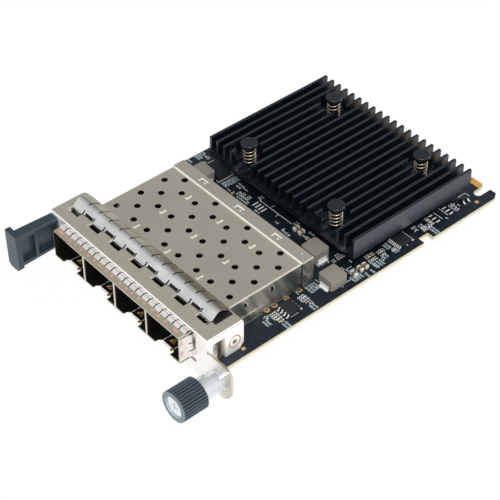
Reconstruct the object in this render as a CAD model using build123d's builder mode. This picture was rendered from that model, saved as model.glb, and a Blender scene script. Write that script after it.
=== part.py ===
import math
import os

from build123d import *

os.makedirs("parts", exist_ok=True)

# Millimetres. X runs across the card towards the thumbscrew, Y from the faceplate to the card
# edge and Z up from the board's top face. The origin is the middle of the card edge.

# Circuit board
board_half_width = 38.0
board_length = 106.9
board_thickness = 1.57
board_front = -board_length
tongue_half_width = board_half_width - 6.4
tongue_rear = 2.5
tongue_corner = 0.8
ear_slot_width = 2.7
ear_slot_bottom = -3.1
ear_tip_rear = 2.28
ear_tip_chamfer = 1.35
side_notch_depth = 2.45
side_notch_front = -30.5
side_notch_rear = -26.55
key_width = 1.2
key_depth = 5.0

# Contacts of the card edge come in three groups with a key notch between them
contact_pitch = 0.6
contact_groups = (14, 28, 42)
contact_group_gap = 2.4
contact_front = -1.4
contact_rear = 1.9
contact_thickness = 0.05

# Sheet metal
plate_sheet = 0.8
cage_sheet = 0.3
strip_sheet = 0.15
leaf_sheet = 0.2

# Faceplate, placed from the front edge of the board
plate_front = board_front - 4.4
plate_rear = plate_front + plate_sheet
plate_bottom = -5.4
flange_top = 10.6
flange_length = 12.6
flange_rear = plate_front + flange_length

# Cage with four ports
port_count = 4
cage_half_width = board_half_width - 9.25
port_pitch = (2 * cage_half_width - 0.5) / port_count
cage_top = 9.7
cage_length = 48.8
cage_front = plate_front - 4.4
cage_rear = cage_front + cage_length
cage_seam = cage_rear - 4.3
seam_gap = 0.1
cage_corner = 0.5
divider_thickness = 0.6
vent_diameter = 2.0
vent_row_pitch = 8.95
vent_side_offset = 4.07
vent_side_front = cage_front + 20.6
vent_centre_front = vent_side_front + vent_row_pitch / 2
floor_wing_front = plate_rear + 0.8
floor_wing_rear = cage_front + 29.7
floor_wing_height = 3.0
cage_pin_rows = [cage_seam - back for back in (13.1, 10.2, 5.7, 0.7)]
cage_pin_size = 0.6
cage_pin_reach = -2.6
cage_pin_hole = 1.05

# Faceplate's outline, placed from the cage
plate_left = -cage_half_width - 7.05
plate_right = cage_half_width + 6.25
mouth_half_width = cage_half_width + 1.55
mouth_bottom = -1.2
side_flange_top = 9.65
side_flange_rear = flange_rear + 0.5
side_flange_bottom = 1.0
cutout_front = plate_rear + 1.4
cutout_rear = plate_rear + 5.7
cutout_top = 7.6
foot_inner = cage_half_width + 1.45
foot_rear = flange_rear - 0.3
rivet_y = flange_rear - 2.86
rivet_z = 4.17
rivet_shank_radius = 0.8
rivet_head_radius = 2.2
rivet_head_height = 0.12
rivet_end_radius = 1.3
rivet_end_height = 0.3
foot_screw_x = cage_half_width + 3.85
foot_screw_y = flange_rear - 3.3

# Contact strip on the top flange
wave_left = plate_left + 2.9
wave_finger_count = 13
wave_finger_pitch = (plate_right - 4.72 - wave_left) / wave_finger_count
wave_front = plate_front + 5.65
wave_rear = flange_rear
crest_y = flange_rear - 4.0
crest_z = flange_top + 2.46
wave_slot_front = crest_y - 0.3
window_front = plate_front + 3.9
window_rear = plate_front + 6.3
window_width = 4.9
tongue_hook_width = 4.3

# Thumbscrew on the ear, placed from the faceplate
screw_x = plate_right + 5.1
screw_z = 0.4
screw_radius = 1.5
neck_radius = 1.15
screw_tip = plate_rear + 2.5
ear_right = screw_x + 4.8
ear_top = screw_z + 5.8
ear_bottom = screw_z - 6.6
sleeve_length = 7.6
sleeve_front = plate_front - sleeve_length
sleeve_radius = 3.35
knob_length = 8.4
knob_rear = sleeve_front + 0.2
knob_front = knob_rear - knob_length
knob_radius = 4.77
knob_rib_count = 24
screw_spring_wire = 0.4
screw_spring_turns = 4.5

# Heat sink
sink_front = -55.0
sink_rear = -6.1
sink_bottom = 4.5
sink_base_top = 6.5
sink_top = 11.5
fin_count = 21
fin_pitch = 3.147
fin_thickness = 0.95
fin_first = -30.5
pocket_floor = 7.3
pocket_radius = 4.2
spring_seat_radius = 2.6

# Push pins
pin_places = ((-18.1, -50.0), (20.15, -50.0), (-18.1, -14.75), (20.15, -14.75))
pin_head_top = 14.3
pin_head_radius = 2.65
pin_head_bottom = 12.9
pin_shank_radius = 1.32
pin_barb_radius = 2.0
pin_tip = -3.6
pin_board_hole = 3.2
pin_sink_hole = 3.3
spring_outer_radius = 2.15
spring_wire = 0.45
spring_pitch = 1.3

# Main chip
chip_centre = (1.0, -32.0)
chip_substrate = 25.0
chip_substrate_thickness = 1.2
chip_lid = 21.0
chip_lid_top = 3.7

# Pull tab left of the ports
tab_outer = plate_left - 0.1
tab_inner = tab_outer + 3.6
tab_length = 14.8
tab_front = plate_front - tab_length
tab_bottom = -1.4
tab_stem_x = plate_left + 1.9
tab_stem_z = 4.0

# Smaller parts on the board. Those on the strip beside the cage and the heat sink are placed from
# the board's right edge.
inductor_places = ((21.0, -58.7, 0), (board_half_width - 5.3, -62.7, 90), (-27.5, -61.3, 0))
inductor_length = 6.3
inductor_width = 5.9
inductor_top = 3.8
terminal_sheet = 0.2
terminal_width = 3.4
terminal_height = 1.5

on_board = (Align.CENTER, Align.CENTER, Align.MIN)

port_centres = [(index - (port_count - 1) / 2) * port_pitch for index in range(port_count)]
divider_centres = [(index - (port_count - 2) / 2) * port_pitch for index in range(port_count - 1)]


def front_view(y):
    """Plane across the card at y, with X to the right, Z up and the front side as its normal."""
    return Plane.XZ.offset(-y)


def round_hole(diameter, sides):
    """Polygon with the circle's area, for a hole that is repeated many times."""
    across = diameter / 2 * math.sqrt(2 * math.pi / (sides * math.sin(2 * math.pi / sides)))
    return RegularPolygon(across, sides, mode=Mode.SUBTRACT)


def coil_spring(outer_radius, wire, first_end, last_end, turns, plane):
    """Compression spring of square wire along the plane's normal, with half a flat turn at each end."""
    steps = 6
    count = round(turns * steps)
    flat = steps // 2
    mean_radius = outer_radius - wire / 2
    end_play = 0.08
    low = first_end + wire / 2 + end_play
    high = last_end - wire / 2 - end_play
    corners = []
    for step in range(count + 1):
        rise = min(max((step - flat) / (count - 2 * flat), 0.0), 1.0)
        angle = 2 * math.pi * step / steps
        local = (mean_radius * math.cos(angle), mean_radius * math.sin(angle), low + rise * (high - low))
        corners.append(plane.from_local_coords(local))
    with BuildPart() as spring:
        with BuildLine() as centre_line:
            Polyline(*corners)
        with BuildSketch(Plane(corners[0], x_dir=plane.z_dir, z_dir=corners[1] - corners[0])):
            Rectangle(wire, wire)
        sweep(path=centre_line.line, transition=Transition.RIGHT)
    return spring.part


# Circuit board
with BuildPart() as circuit_board:
    slot_centre_x = tongue_half_width + ear_slot_width / 2
    ear_inner = tongue_half_width + ear_slot_width
    slot_round_y = ear_slot_bottom + ear_slot_width / 2
    with BuildSketch(Plane.XY.offset(-board_thickness)) as board_outline:
        with BuildLine():
            Polyline(
                (0, board_front),
                (board_half_width, board_front),
                (board_half_width, side_notch_front),
                (board_half_width - side_notch_depth, side_notch_front),
                (board_half_width - side_notch_depth, side_notch_rear),
                (board_half_width, side_notch_rear),
                (board_half_width, 0),
                (board_half_width - ear_tip_chamfer, ear_tip_rear),
                (ear_inner, ear_tip_rear),
                (ear_inner, slot_round_y),
            )
            ThreePointArc(
                (ear_inner, slot_round_y), (slot_centre_x, ear_slot_bottom), (tongue_half_width, slot_round_y)
            )
            Polyline((tongue_half_width, slot_round_y), (tongue_half_width, tongue_rear), (0, tongue_rear))
            mirror(about=Plane.YZ)
        make_face()
        chamfer(board_outline.vertices().group_by(Axis.Y)[-1], tongue_corner)
        contact_total = sum(contact_groups) * contact_pitch + 2 * contact_group_gap
        key_x = -contact_total / 2
        for group in contact_groups[:-1]:
            key_x += group * contact_pitch + contact_group_gap / 2
            with Locations((key_x, tongue_rear - key_depth / 2)):
                Rectangle(key_width, key_depth, mode=Mode.SUBTRACT)
            key_x += contact_group_gap / 2
        with Locations(*pin_places):
            round_hole(pin_board_hole, 12)
        cage_pin_x = cage_half_width - cage_sheet / 2
        with Locations(*[(side * cage_pin_x, y) for side in (-1, 1) for y in cage_pin_rows]):
            round_hole(cage_pin_hole, 8)
        with Locations((foot_screw_x, foot_screw_y), (-foot_screw_x, foot_screw_y)):
            round_hole(2.2, 8)
    extrude(amount=board_thickness)
circuit_board.part.label = "circuit_board"
export_step(circuit_board.part, "parts/circuit_board.step")

# Gold contacts on both faces of the tongue, one band for each group
with BuildPart() as edge_contacts:
    band_left = -contact_total / 2
    for group in contact_groups:
        band_width = group * contact_pitch
        for bottom in (0, -board_thickness - contact_thickness):
            with Locations((band_left + band_width / 2, (contact_front + contact_rear) / 2, bottom)):
                Box(band_width, contact_rear - contact_front, contact_thickness, align=on_board)
        band_left += band_width + contact_group_gap
edge_contacts.part.label = "edge_contacts"
export_step(edge_contacts.part, "parts/edge_contacts.step")

# Main chip under the heat sink, and the pad between them
with BuildPart() as controller_chip:
    with Locations((*chip_centre, 0)):
        Box(chip_substrate, chip_substrate, chip_substrate_thickness, align=on_board)
    with Locations((*chip_centre, chip_substrate_thickness)):
        Box(chip_lid, chip_lid, chip_lid_top - chip_substrate_thickness, align=on_board)
    chamfer(controller_chip.edges().group_by(Axis.Z)[-1], 0.3)
controller_chip.part.label = "controller_chip"
export_step(controller_chip.part, "parts/controller_chip.step")

with BuildPart() as thermal_pad:
    with Locations((*chip_centre, chip_lid_top)):
        Box(chip_lid - 1, chip_lid - 1, sink_bottom - chip_lid_top, align=on_board)
thermal_pad.part.label = "thermal_pad"
export_step(thermal_pad.part, "parts/thermal_pad.step")

# Heat sink: a comb of fins along the card, with pockets milled round the push pins
with BuildPart() as heat_sink:
    fin_places = [fin_first + index * fin_pitch for index in range(fin_count)]
    base_centre = (fin_places[0] + fin_places[-1]) / 2
    base_width = fin_places[-1] - fin_places[0] + fin_thickness
    fin_height = sink_top - sink_base_top
    with BuildSketch(front_view(sink_rear)):
        with Locations(*[(x, sink_base_top + fin_height / 2) for x in fin_places]):
            Rectangle(fin_thickness, fin_height)
        with Locations((base_centre, (sink_bottom + sink_base_top) / 2)):
            Rectangle(base_width, sink_base_top - sink_bottom)
    extrude(amount=sink_rear - sink_front)
    with BuildSketch(Plane.XY.offset(pocket_floor)):
        with Locations(*pin_places):
            RegularPolygon(pocket_radius, 16)
        for x, y in pin_places[:2]:
            with Locations((x + 1.4, (sink_front + y) / 2)):
                Rectangle(6.4, y - sink_front)
    extrude(amount=sink_top - pocket_floor, mode=Mode.SUBTRACT)
    with BuildSketch(Plane.XY.offset(sink_base_top)):
        with Locations(*pin_places):
            RegularPolygon(spring_seat_radius, 12)
    extrude(amount=pocket_floor - sink_base_top, mode=Mode.SUBTRACT)
    with BuildSketch(Plane.XY.offset(sink_bottom)):
        with Locations(*pin_places):
            RegularPolygon(pin_sink_hole / 2, 12)
    extrude(amount=sink_base_top - sink_bottom, mode=Mode.SUBTRACT)
heat_sink.part.label = "heat_sink"
export_step(heat_sink.part, "parts/heat_sink.step")

# Push pins: a chamfered head, a shank through the heat sink and the board, and a split barb below
with BuildPart() as push_pins:
    with BuildSketch(Plane.XY.offset(pin_head_bottom)):
        with Locations(*pin_places):
            RegularPolygon(pin_head_radius, 16)
    extrude(amount=pin_head_top - pin_head_bottom)
    chamfer(push_pins.faces().group_by(Axis.Z)[-1].edges(), 0.35)
    with BuildSketch(Plane.XY.offset(-board_thickness)):
        with Locations(*pin_places):
            RegularPolygon(pin_shank_radius, 8)
    extrude(amount=pin_head_bottom + board_thickness)
    for x, y in pin_places:
        for z, radius in ((-board_thickness, pin_barb_radius), (pin_tip, pin_barb_radius / 2)):
            with BuildSketch(Plane((x, y, z))):
                RegularPolygon(radius, 8)
        loft(ruled=True)
        with Locations((x, y, pin_tip)):
            Box(0.7, 2 * pin_barb_radius, -board_thickness - pin_tip, align=on_board, mode=Mode.SUBTRACT)
push_pins.part.label = "push_pins"
export_step(push_pins.part, "parts/push_pins.step")

with BuildPart() as push_pin_springs:
    pin_spring_turns = (pin_head_bottom - sink_base_top - spring_wire) / spring_pitch + 1
    pin_spring = coil_spring(
        spring_outer_radius, spring_wire, sink_base_top, pin_head_bottom, pin_spring_turns, Plane.XY
    )
    for x, y in pin_places:
        add(pin_spring.moved(Location((x, y, 0))))
push_pin_springs.part.label = "push_pin_springs"
export_step(push_pin_springs.part, "parts/push_pin_springs.step")

# Faceplate: front plate with an ear, folded top flange, two side flanges and two feet
window_places = [wave_left + (2 * index + 0.5) * wave_finger_pitch for index in range(7)]

with BuildPart() as faceplate:
    with BuildSketch(front_view(plate_rear)) as plate_outline:
        with BuildLine():
            Polyline(
                (plate_left, plate_bottom),
                (plate_right + 1, plate_bottom),
                (plate_right + 3, ear_bottom),
                (ear_right, ear_bottom),
                (ear_right, ear_top),
                (plate_right, ear_top),
                (plate_right, flange_top),
                (plate_left, flange_top),
                close=True,
            )
        make_face()
        ear_corners = plate_outline.vertices().group_by(Axis.X)[-1].sort_by(Axis.Y)
        fillet(ear_corners[0], 4.6)
        fillet(plate_outline.vertices().group_by(Axis.X)[-1].sort_by(Axis.Y)[-1], 3.0)
        with Locations((0, (mouth_bottom + flange_top - plate_sheet) / 2)):
            Rectangle(2 * mouth_half_width, flange_top - plate_sheet - mouth_bottom, mode=Mode.SUBTRACT)
        with Locations((screw_x, screw_z)):
            Circle(2.75, mode=Mode.SUBTRACT)
        with Locations((tab_stem_x, tab_stem_z)):
            Rectangle(1.6, 5.8, mode=Mode.SUBTRACT)
        with Locations((plate_right, ear_top)):
            Rectangle(1.0, 1.0, mode=Mode.SUBTRACT)
    extrude(amount=plate_sheet)
    with BuildSketch(Plane.XY.offset(flange_top - plate_sheet)) as top_flange:
        with BuildLine():
            Polyline(
                (plate_left, plate_front),
                (plate_right, plate_front),
                (plate_right, flange_rear),
                (plate_left, flange_rear),
                close=True,
            )
        make_face()
        fillet(top_flange.vertices().group_by(Axis.Y)[-1].sort_by(Axis.X)[0], 1.5)
        for x in window_places:
            with Locations((x, (window_front + window_rear) / 2)):
                Rectangle(window_width, window_rear - window_front, mode=Mode.SUBTRACT)
    extrude(amount=plate_sheet)
    for side, edge in ((-1, plate_left), (1, plate_right)):
        inner = edge - side * plate_sheet
        with BuildSketch(Plane.YZ.offset(min(edge, inner))):
            with BuildLine():
                Polyline(
                    (plate_rear, side_flange_bottom),
                    (cutout_front, side_flange_bottom),
                    (cutout_front, cutout_top),
                    (cutout_rear, cutout_top),
                    (cutout_rear, 0),
                    (foot_rear - 0.9, 0),
                    (side_flange_rear, 1.7),
                    (side_flange_rear, side_flange_top),
                    (plate_rear, side_flange_top),
                    close=True,
                )
            make_face()
            with Locations((rivet_y, rivet_z)):
                round_hole(2 * rivet_shank_radius + 0.04, 12)
            with Locations((cutout_rear + 0.8, (side_flange_top + flange_top - plate_sheet) / 2)):
                Rectangle(1.0, flange_top - plate_sheet - side_flange_top)
        extrude(amount=plate_sheet)
        with BuildSketch(Plane.XY):
            with Locations((side * (foot_inner + abs(inner)) / 2, (cutout_rear + foot_rear - 0.9) / 2)):
                Rectangle(abs(inner) - foot_inner, foot_rear - 0.9 - cutout_rear)
            with Locations((side * foot_screw_x, foot_screw_y)):
                round_hole(2.1, 12)
        extrude(amount=plate_sheet)
    top_edges = faceplate.edges().filter_by(Axis.X)
    top_edges = top_edges.filter_by_position(Axis.Z, flange_top - 0.01, flange_top + 0.01)
    fillet(top_edges.group_by(Axis.Y)[0], 0.7)
faceplate.part.label = "faceplate"
export_step(faceplate.part, "parts/faceplate.step")

# Curved springs in the cut-outs of the side flanges, and the rivets that hold them
with BuildPart() as side_springs:
    for side, edge in ((-1, plate_left), (1, plate_right)):
        face = edge - side * plate_sheet
        with BuildSketch(Plane.XY.offset(1.3)):
            with BuildLine():
                leaf_path = Polyline(
                    (face, foot_rear - 0.8),
                    (face, cutout_rear - 0.3),
                    (edge + side * 0.3, cutout_rear - 1.5),
                    (edge + side * 0.6, cutout_rear - 2.2),
                    (edge + side * 0.3, cutout_rear - 2.9),
                    (face + side * 0.3, cutout_front + 0.2),
                )
                offset(leaf_path, amount=leaf_sheet, side=Side.RIGHT if side > 0 else Side.LEFT)
            make_face()
        extrude(amount=5.8)
        with BuildSketch(Plane.YZ.offset(min(face, face - side * leaf_sheet))):
            with Locations((rivet_y, rivet_z)):
                RegularPolygon(rivet_shank_radius + 0.04, 12)
        extrude(amount=leaf_sheet, mode=Mode.SUBTRACT)
side_springs.part.label = "side_springs"
export_step(side_springs.part, "parts/side_springs.step")

with BuildPart() as side_rivets:
    for side, edge in ((-1, plate_left), (1, plate_right)):
        spring_face = edge - side * (plate_sheet + leaf_sheet)
        head_face = edge + side * rivet_head_height
        end_face = spring_face - side * rivet_end_height
        for start, end, radius in (
            (head_face, edge, rivet_head_radius),
            (edge, spring_face, rivet_shank_radius),
            (spring_face, end_face, rivet_end_radius),
        ):
            with BuildSketch(Plane.YZ.offset(min(start, end))):
                with Locations((rivet_y, rivet_z)):
                    RegularPolygon(radius, 12)
            extrude(amount=abs(end - start))
side_rivets.part.label = "side_rivets"
export_step(side_rivets.part, "parts/side_rivets.step")

# Screws from below the board into the feet
with BuildPart() as bracket_screws:
    head_bottom = -board_thickness - 1.2
    for bottom, top, radius, sides in (
        (head_bottom, -board_thickness, 1.9, 16),
        (-board_thickness, plate_sheet, 1.0, 8),
    ):
        with BuildSketch(Plane.XY.offset(bottom)):
            with Locations((foot_screw_x, foot_screw_y), (-foot_screw_x, foot_screw_y)):
                RegularPolygon(radius, sides)
        extrude(amount=top - bottom)
    with BuildSketch(Plane.XY.offset(head_bottom)):
        with Locations((foot_screw_x, foot_screw_y), (-foot_screw_x, foot_screw_y)):
            Rectangle(2.0, 0.5)
            Rectangle(0.5, 2.0)
    extrude(amount=0.6, mode=Mode.SUBTRACT)
bracket_screws.part.label = "bracket_screws"
export_step(bracket_screws.part, "parts/bracket_screws.step")

# Wavy contact strip hooked into the windows of the top flange
with BuildPart() as emi_strip:
    wave_right = wave_left + wave_finger_count * wave_finger_pitch
    wave_foot = flange_top + strip_sheet
    with BuildSketch(Plane.YZ.offset(wave_left)):
        with BuildLine():
            wave_path = Polyline(
                (wave_front, wave_foot),
                (wave_front + 0.35, wave_foot),
                (crest_y - 1.25, crest_z - 0.95),
                (crest_y - 0.5, crest_z - 0.47),
                (crest_y + 0.3, crest_z - 0.45),
                (crest_y + 1.15, crest_z - 0.67),
                (wave_rear, wave_foot + 0.03),
            )
            offset(wave_path, amount=strip_sheet, side=Side.RIGHT)
        make_face()
    extrude(amount=wave_right - wave_left)
    slot_places = [wave_left + (index + 1) * wave_finger_pitch for index in range(wave_finger_count - 1)]
    with BuildSketch(Plane.XY.offset(flange_top)):
        with Locations(*[(x, (wave_slot_front + wave_rear) / 2) for x in slot_places]):
            Rectangle(0.4, wave_rear - wave_slot_front + 1)
        for x in window_places:
            for side in (-1, 1):
                with Locations((x + side * (tongue_hook_width / 2 + 0.15), wave_front + 0.4)):
                    Rectangle(0.25, 1.0)
    extrude(amount=3, mode=Mode.SUBTRACT)
    hook_bottom = flange_top - plate_sheet - strip_sheet
    for x in window_places:
        with BuildSketch(Plane.YZ.offset(x - tongue_hook_width / 2)):
            with BuildLine():
                hook_path = Polyline(
                    (wave_front, wave_foot), (wave_front, hook_bottom), (wave_front + 1.2, hook_bottom)
                )
                offset(hook_path, amount=strip_sheet, side=Side.LEFT)
            make_face()
    extrude(amount=tongue_hook_width)
emi_strip.part.label = "emi_strip"
export_step(emi_strip.part, "parts/emi_strip.step")

# Cage: top cover, rear cover, floor and dividers
vent_points = []
for centre in port_centres:
    for row in range(3):
        vent_points.append((centre - vent_side_offset, vent_side_front + row * vent_row_pitch))
        vent_points.append((centre + vent_side_offset, vent_side_front + row * vent_row_pitch))
        vent_points.append((centre, vent_centre_front + row * vent_row_pitch))
tab_pitch = 9.7
lock_rows = [cage_front + 19.4 + row * tab_pitch for row in range(3)]
lock_length = 1.9
lock_offset = -0.15
lock_points = [(x + lock_offset, y) for x in divider_centres for y in lock_rows]


with BuildPart() as cage_cover:
    cover_rear = cage_seam - seam_gap / 2
    with Locations((0, (cage_front + cover_rear) / 2, cage_top - cage_sheet)):
        Box(2 * cage_half_width, cover_rear - cage_front, cage_sheet, align=on_board)
    top_edges = cage_cover.edges().filter_by(Axis.Y).group_by(Axis.Z)[-1]
    chamfer(top_edges, 0.15)
    with BuildSketch(Plane.XY.offset(cage_top)):
        with Locations(*vent_points):
            RegularPolygon(vent_diameter / 2 + 0.04, 8)
        with Locations(*lock_points):
            Rectangle(0.6, lock_length + 0.3)
        for x in window_places[1:-1]:
            with Locations((x, (window_front + window_rear) / 2 + 0.4)):
                Rectangle(window_width + 0.4, window_rear - window_front + 0.8)
        for side in (-1, 1):
            with Locations((side * (cage_half_width - 1.35), (window_front + window_rear) / 2 + 0.4)):
                Rectangle(4.0, window_rear - window_front + 0.8)
    extrude(amount=-cage_sheet, mode=Mode.SUBTRACT)
cage_cover.part.label = "cage_cover"
export_step(cage_cover.part, "parts/cage_cover.step")

# Side walls of the cover, with press-fit pins into the board and lanced teeth
with BuildPart() as cage_walls:
    for side in (-1, 1):
        with Locations((side * cage_pin_x, (cage_front + cover_rear) / 2, cage_sheet)):
            Box(cage_sheet, cover_rear - cage_front, cage_top - 2 * cage_sheet, align=on_board)
        for y in cage_pin_rows:
            with Locations((side * cage_pin_x, y, cage_pin_reach)):
                Box(cage_sheet, cage_pin_size, cage_sheet - cage_pin_reach, align=on_board)
        wall_face = Plane((side * cage_half_width, 0, 0), x_dir=(0, 1, 0), z_dir=(side, 0, 0))
        with BuildSketch(wall_face):
            for y, z in ((cage_front + 23.7, 7.0), (cage_front + 33.6, 7.3)):
                with BuildLine():
                    Polyline(
                        (y - 0.7, side * (z - 0.9)),
                        (y + 0.7, side * (z - 0.9)),
                        (y + 0.5, side * (z + 0.6)),
                        close=True,
                    )
                make_face()
        extrude(amount=0.35)
cage_walls.part.label = "cage_walls"
export_step(cage_walls.part, "parts/cage_walls.step")

with BuildPart() as cage_rear_cover:
    rear_half_width = cage_half_width + cage_sheet
    rear_top = cage_top + cage_sheet
    with BuildSketch(front_view(cage_rear)):
        with BuildLine():
            fold = Polyline(
                (-rear_half_width, 0),
                (-rear_half_width, rear_top - cage_corner / 2),
                (-rear_half_width + cage_corner / 2, rear_top),
                (rear_half_width - cage_corner / 2, rear_top),
                (rear_half_width, rear_top - cage_corner / 2),
                (rear_half_width, 0),
            )
            offset(fold, amount=cage_sheet, side=Side.RIGHT)
        make_face()
    extrude(amount=cage_rear - cage_seam - seam_gap / 2)
    with Locations((0, cage_rear - cage_sheet / 2, 0)):
        Box(2 * (rear_half_width - cage_sheet), cage_sheet, rear_top - cage_sheet, align=on_board)
    with BuildSketch(Plane.XY.offset(rear_top)):
        for x in divider_centres:
            with Locations((x - 1.2, cage_rear - 1.9)):
                Rectangle(0.3, 1.8)
            with Locations((x - 0.6, cage_rear - 2.7)):
                Rectangle(1.2, 0.3)
    extrude(amount=-cage_sheet, mode=Mode.SUBTRACT)
    tooth_y = cage_rear - 2.4
    tooth_z = 4.05
    with Locations((0, tooth_y - 0.2, tooth_z)):
        Box(3 * cage_half_width, 1.6, 1.2, mode=Mode.SUBTRACT)
    with Locations((-rear_half_width + 0.1, tooth_y, tooth_z), (rear_half_width - 0.1, tooth_y, tooth_z)):
        Box(0.5, 1.2, 0.5)
cage_rear_cover.part.label = "cage_rear_cover"
export_step(cage_rear_cover.part, "parts/cage_rear_cover.step")

latch_slit = 0.3
latch_half_width = 2.6
latch_rear = cage_front + 11.2
notch_depth = 2.1
connector_length = 10.0
connector_rear = cage_rear - 5.7
connector_front = connector_rear - connector_length
connector_width = port_pitch - 2.85

with BuildPart() as cage_base:
    floor_narrow = cage_half_width - cage_sheet - 0.05
    with BuildSketch(Plane.XY):
        with BuildLine():
            Polyline(
                (0, cage_front),
                (cage_half_width, cage_front),
                (cage_half_width, floor_wing_front),
                (cage_half_width + cage_sheet, floor_wing_front),
                (cage_half_width + cage_sheet, floor_wing_rear),
                (floor_narrow, floor_wing_rear),
                (floor_narrow, cage_rear - cage_sheet - 0.05),
                (0, cage_rear - cage_sheet - 0.05),
            )
            mirror(about=Plane.YZ)
        make_face()
        for x in port_centres:
            notch_rear = cage_front + notch_depth
            with BuildLine():
                Polyline(
                    (x - 3.5, cage_front),
                    (x - 3.5, notch_rear - 0.8),
                    (x - 2.7, notch_rear),
                    (x + 2.3, notch_rear),
                    (x + 3.0, notch_rear - 0.8),
                    (x + 3.0, cage_front),
                    close=True,
                )
            make_face(mode=Mode.SUBTRACT)
            for side in (-1, 1):
                slit_x = x - 0.2 + side * (latch_half_width - latch_slit)
                with Locations((slit_x, (notch_rear + latch_rear) / 2)):
                    Rectangle(latch_slit, latch_rear - notch_rear, mode=Mode.SUBTRACT)
            with BuildLine():
                Polyline(
                    (x - 1.5, cage_front + 3.1),
                    (x + 1.1, cage_front + 3.1),
                    (x - 0.2, cage_front + 5.3),
                    close=True,
                )
            make_face(mode=Mode.SUBTRACT)
            with Locations((x, (connector_front + connector_rear) / 2)):
                Rectangle(connector_width + 0.6, connector_rear - connector_front + 0.6, mode=Mode.SUBTRACT)
    extrude(amount=cage_sheet)
    for x in port_centres:
        with Locations((x - 0.6, cage_front + notch_depth + cage_sheet / 2, -0.9)):
            Box(3.4, cage_sheet, 0.9, align=on_board)
cage_base.part.label = "cage_base"
export_step(cage_base.part, "parts/cage_base.step")

# Low flanges of the floor outside the walls
with BuildPart() as cage_floor_flanges:
    for side in (-1, 1):
        with BuildSketch(Plane.YZ.offset(side * (cage_half_width + cage_sheet / 2) - cage_sheet / 2)):
            with Locations(((floor_wing_front + floor_wing_rear) / 2, (floor_wing_height + cage_sheet) / 2)):
                Rectangle(floor_wing_rear - floor_wing_front, floor_wing_height - cage_sheet)
            with Locations((floor_wing_rear - 4.5, 1.6)):
                Rectangle(2.8, 0.9, mode=Mode.SUBTRACT)
        extrude(amount=cage_sheet)
cage_floor_flanges.part.label = "cage_floor_flanges"
export_step(cage_floor_flanges.part, "parts/cage_floor_flanges.step")

with BuildPart() as cage_dividers:
    divider_rear = cage_rear - cage_sheet - 0.1
    for x in divider_centres:
        with Locations((x, (cage_front + divider_rear) / 2, cage_sheet)):
            Box(divider_thickness, divider_rear - cage_front, cage_top - 2 * cage_sheet, align=on_board)
        for y in lock_rows:
            with Locations((x + lock_offset, y, cage_top - cage_sheet)):
                Box(0.3, lock_length, cage_sheet + 0.35, align=on_board)
cage_dividers.part.label = "cage_dividers"
export_step(cage_dividers.part, "parts/cage_dividers.step")

# Brass leaves under the latch tongues
with BuildPart() as latch_springs:
    for x in port_centres:
        with BuildSketch(Plane.XY.offset(-leaf_sheet)):
            with Locations((x - 0.2, cage_front + 5.1)):
                Rectangle(4.0, 5.4)
            with Locations((x + 1.7, cage_front + 1.9)):
                Rectangle(0.9, 1.2)
        extrude(amount=leaf_sheet)
latch_springs.part.label = "latch_springs"
export_step(latch_springs.part, "parts/latch_springs.step")

# Connectors at the back of the ports, each with a slot for a card edge
for index, centre in enumerate(port_centres):
    with BuildPart() as port_connector:
        with Locations((centre, (connector_front + connector_rear) / 2, 0)):
            Box(connector_width, connector_rear - connector_front, 8.4, align=on_board)
        top_front = port_connector.edges().filter_by(Axis.X).group_by(Axis.Z)[-1].sort_by(Axis.Y)[0]
        chamfer(top_front, 1.2)
        with Locations((centre, connector_front + 2.5, 3.4)):
            Box(connector_width - 2.2, 5.0, 1.4, mode=Mode.SUBTRACT)
    port_connector.part.label = f"port_connector_{index + 1}"
    export_step(port_connector.part, f"parts/port_connector_{index + 1}.step")

# Contact fingers round the front end of the cage
gasket_finger_count = 21
gasket_pitch = 2 * cage_half_width / gasket_finger_count

with BuildPart() as snout_gasket_top:
    gasket_half_width = cage_half_width - 0.3
    with BuildSketch(Plane.YZ.offset(-gasket_half_width)):
        with BuildLine():
            top_z = cage_top + strip_sheet
            finger_path = Polyline(
                (cage_front + 0.4, top_z),
                (plate_front - 2.1, top_z),
                (plate_front - 1.1, top_z + 0.5),
                (plate_front - 0.1, top_z + 0.1),
            )
            offset(finger_path, amount=strip_sheet, side=Side.RIGHT)
        make_face()
    extrude(amount=2 * gasket_half_width)
    with BuildSketch(Plane.XY.offset(cage_top)):
        for index in range(1, gasket_finger_count):
            with Locations((-cage_half_width + index * gasket_pitch, plate_front - 0.9)):
                Rectangle(0.35, 2.4)
    extrude(amount=2, mode=Mode.SUBTRACT)
snout_gasket_top.part.label = "snout_gasket_top"
export_step(snout_gasket_top.part, "parts/snout_gasket_top.step")

with BuildPart() as snout_gasket_sides:
    outer_x = cage_half_width + strip_sheet
    band_rear = plate_front - 2.55
    with BuildSketch(Plane.XY.offset(0.6)):
        with BuildLine():
            side_path = Polyline(
                (outer_x, cage_front),
                (outer_x, band_rear),
                (outer_x + 0.55, plate_front - 1.7),
                (outer_x + 0.55, plate_front - 1.1),
                (outer_x, plate_front),
                (outer_x, plate_rear + 0.6),
            )
            offset(side_path, amount=strip_sheet, side=Side.LEFT)
        make_face()
    extrude(amount=8.4)
    for low, high, rear in (
        (2.5, 3.5, plate_front + 0.1),
        (5.4, 6.35, plate_front + 0.1),
        (8.1, 9.1, plate_rear + 0.7),
    ):
        with Locations((outer_x, (rear + band_rear) / 2, low)):
            Box(4, rear - band_rear, high - low, align=on_board, mode=Mode.SUBTRACT)
    mirror(about=Plane.YZ)
snout_gasket_sides.part.label = "snout_gasket_sides"
export_step(snout_gasket_sides.part, "parts/snout_gasket_sides.step")

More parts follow.
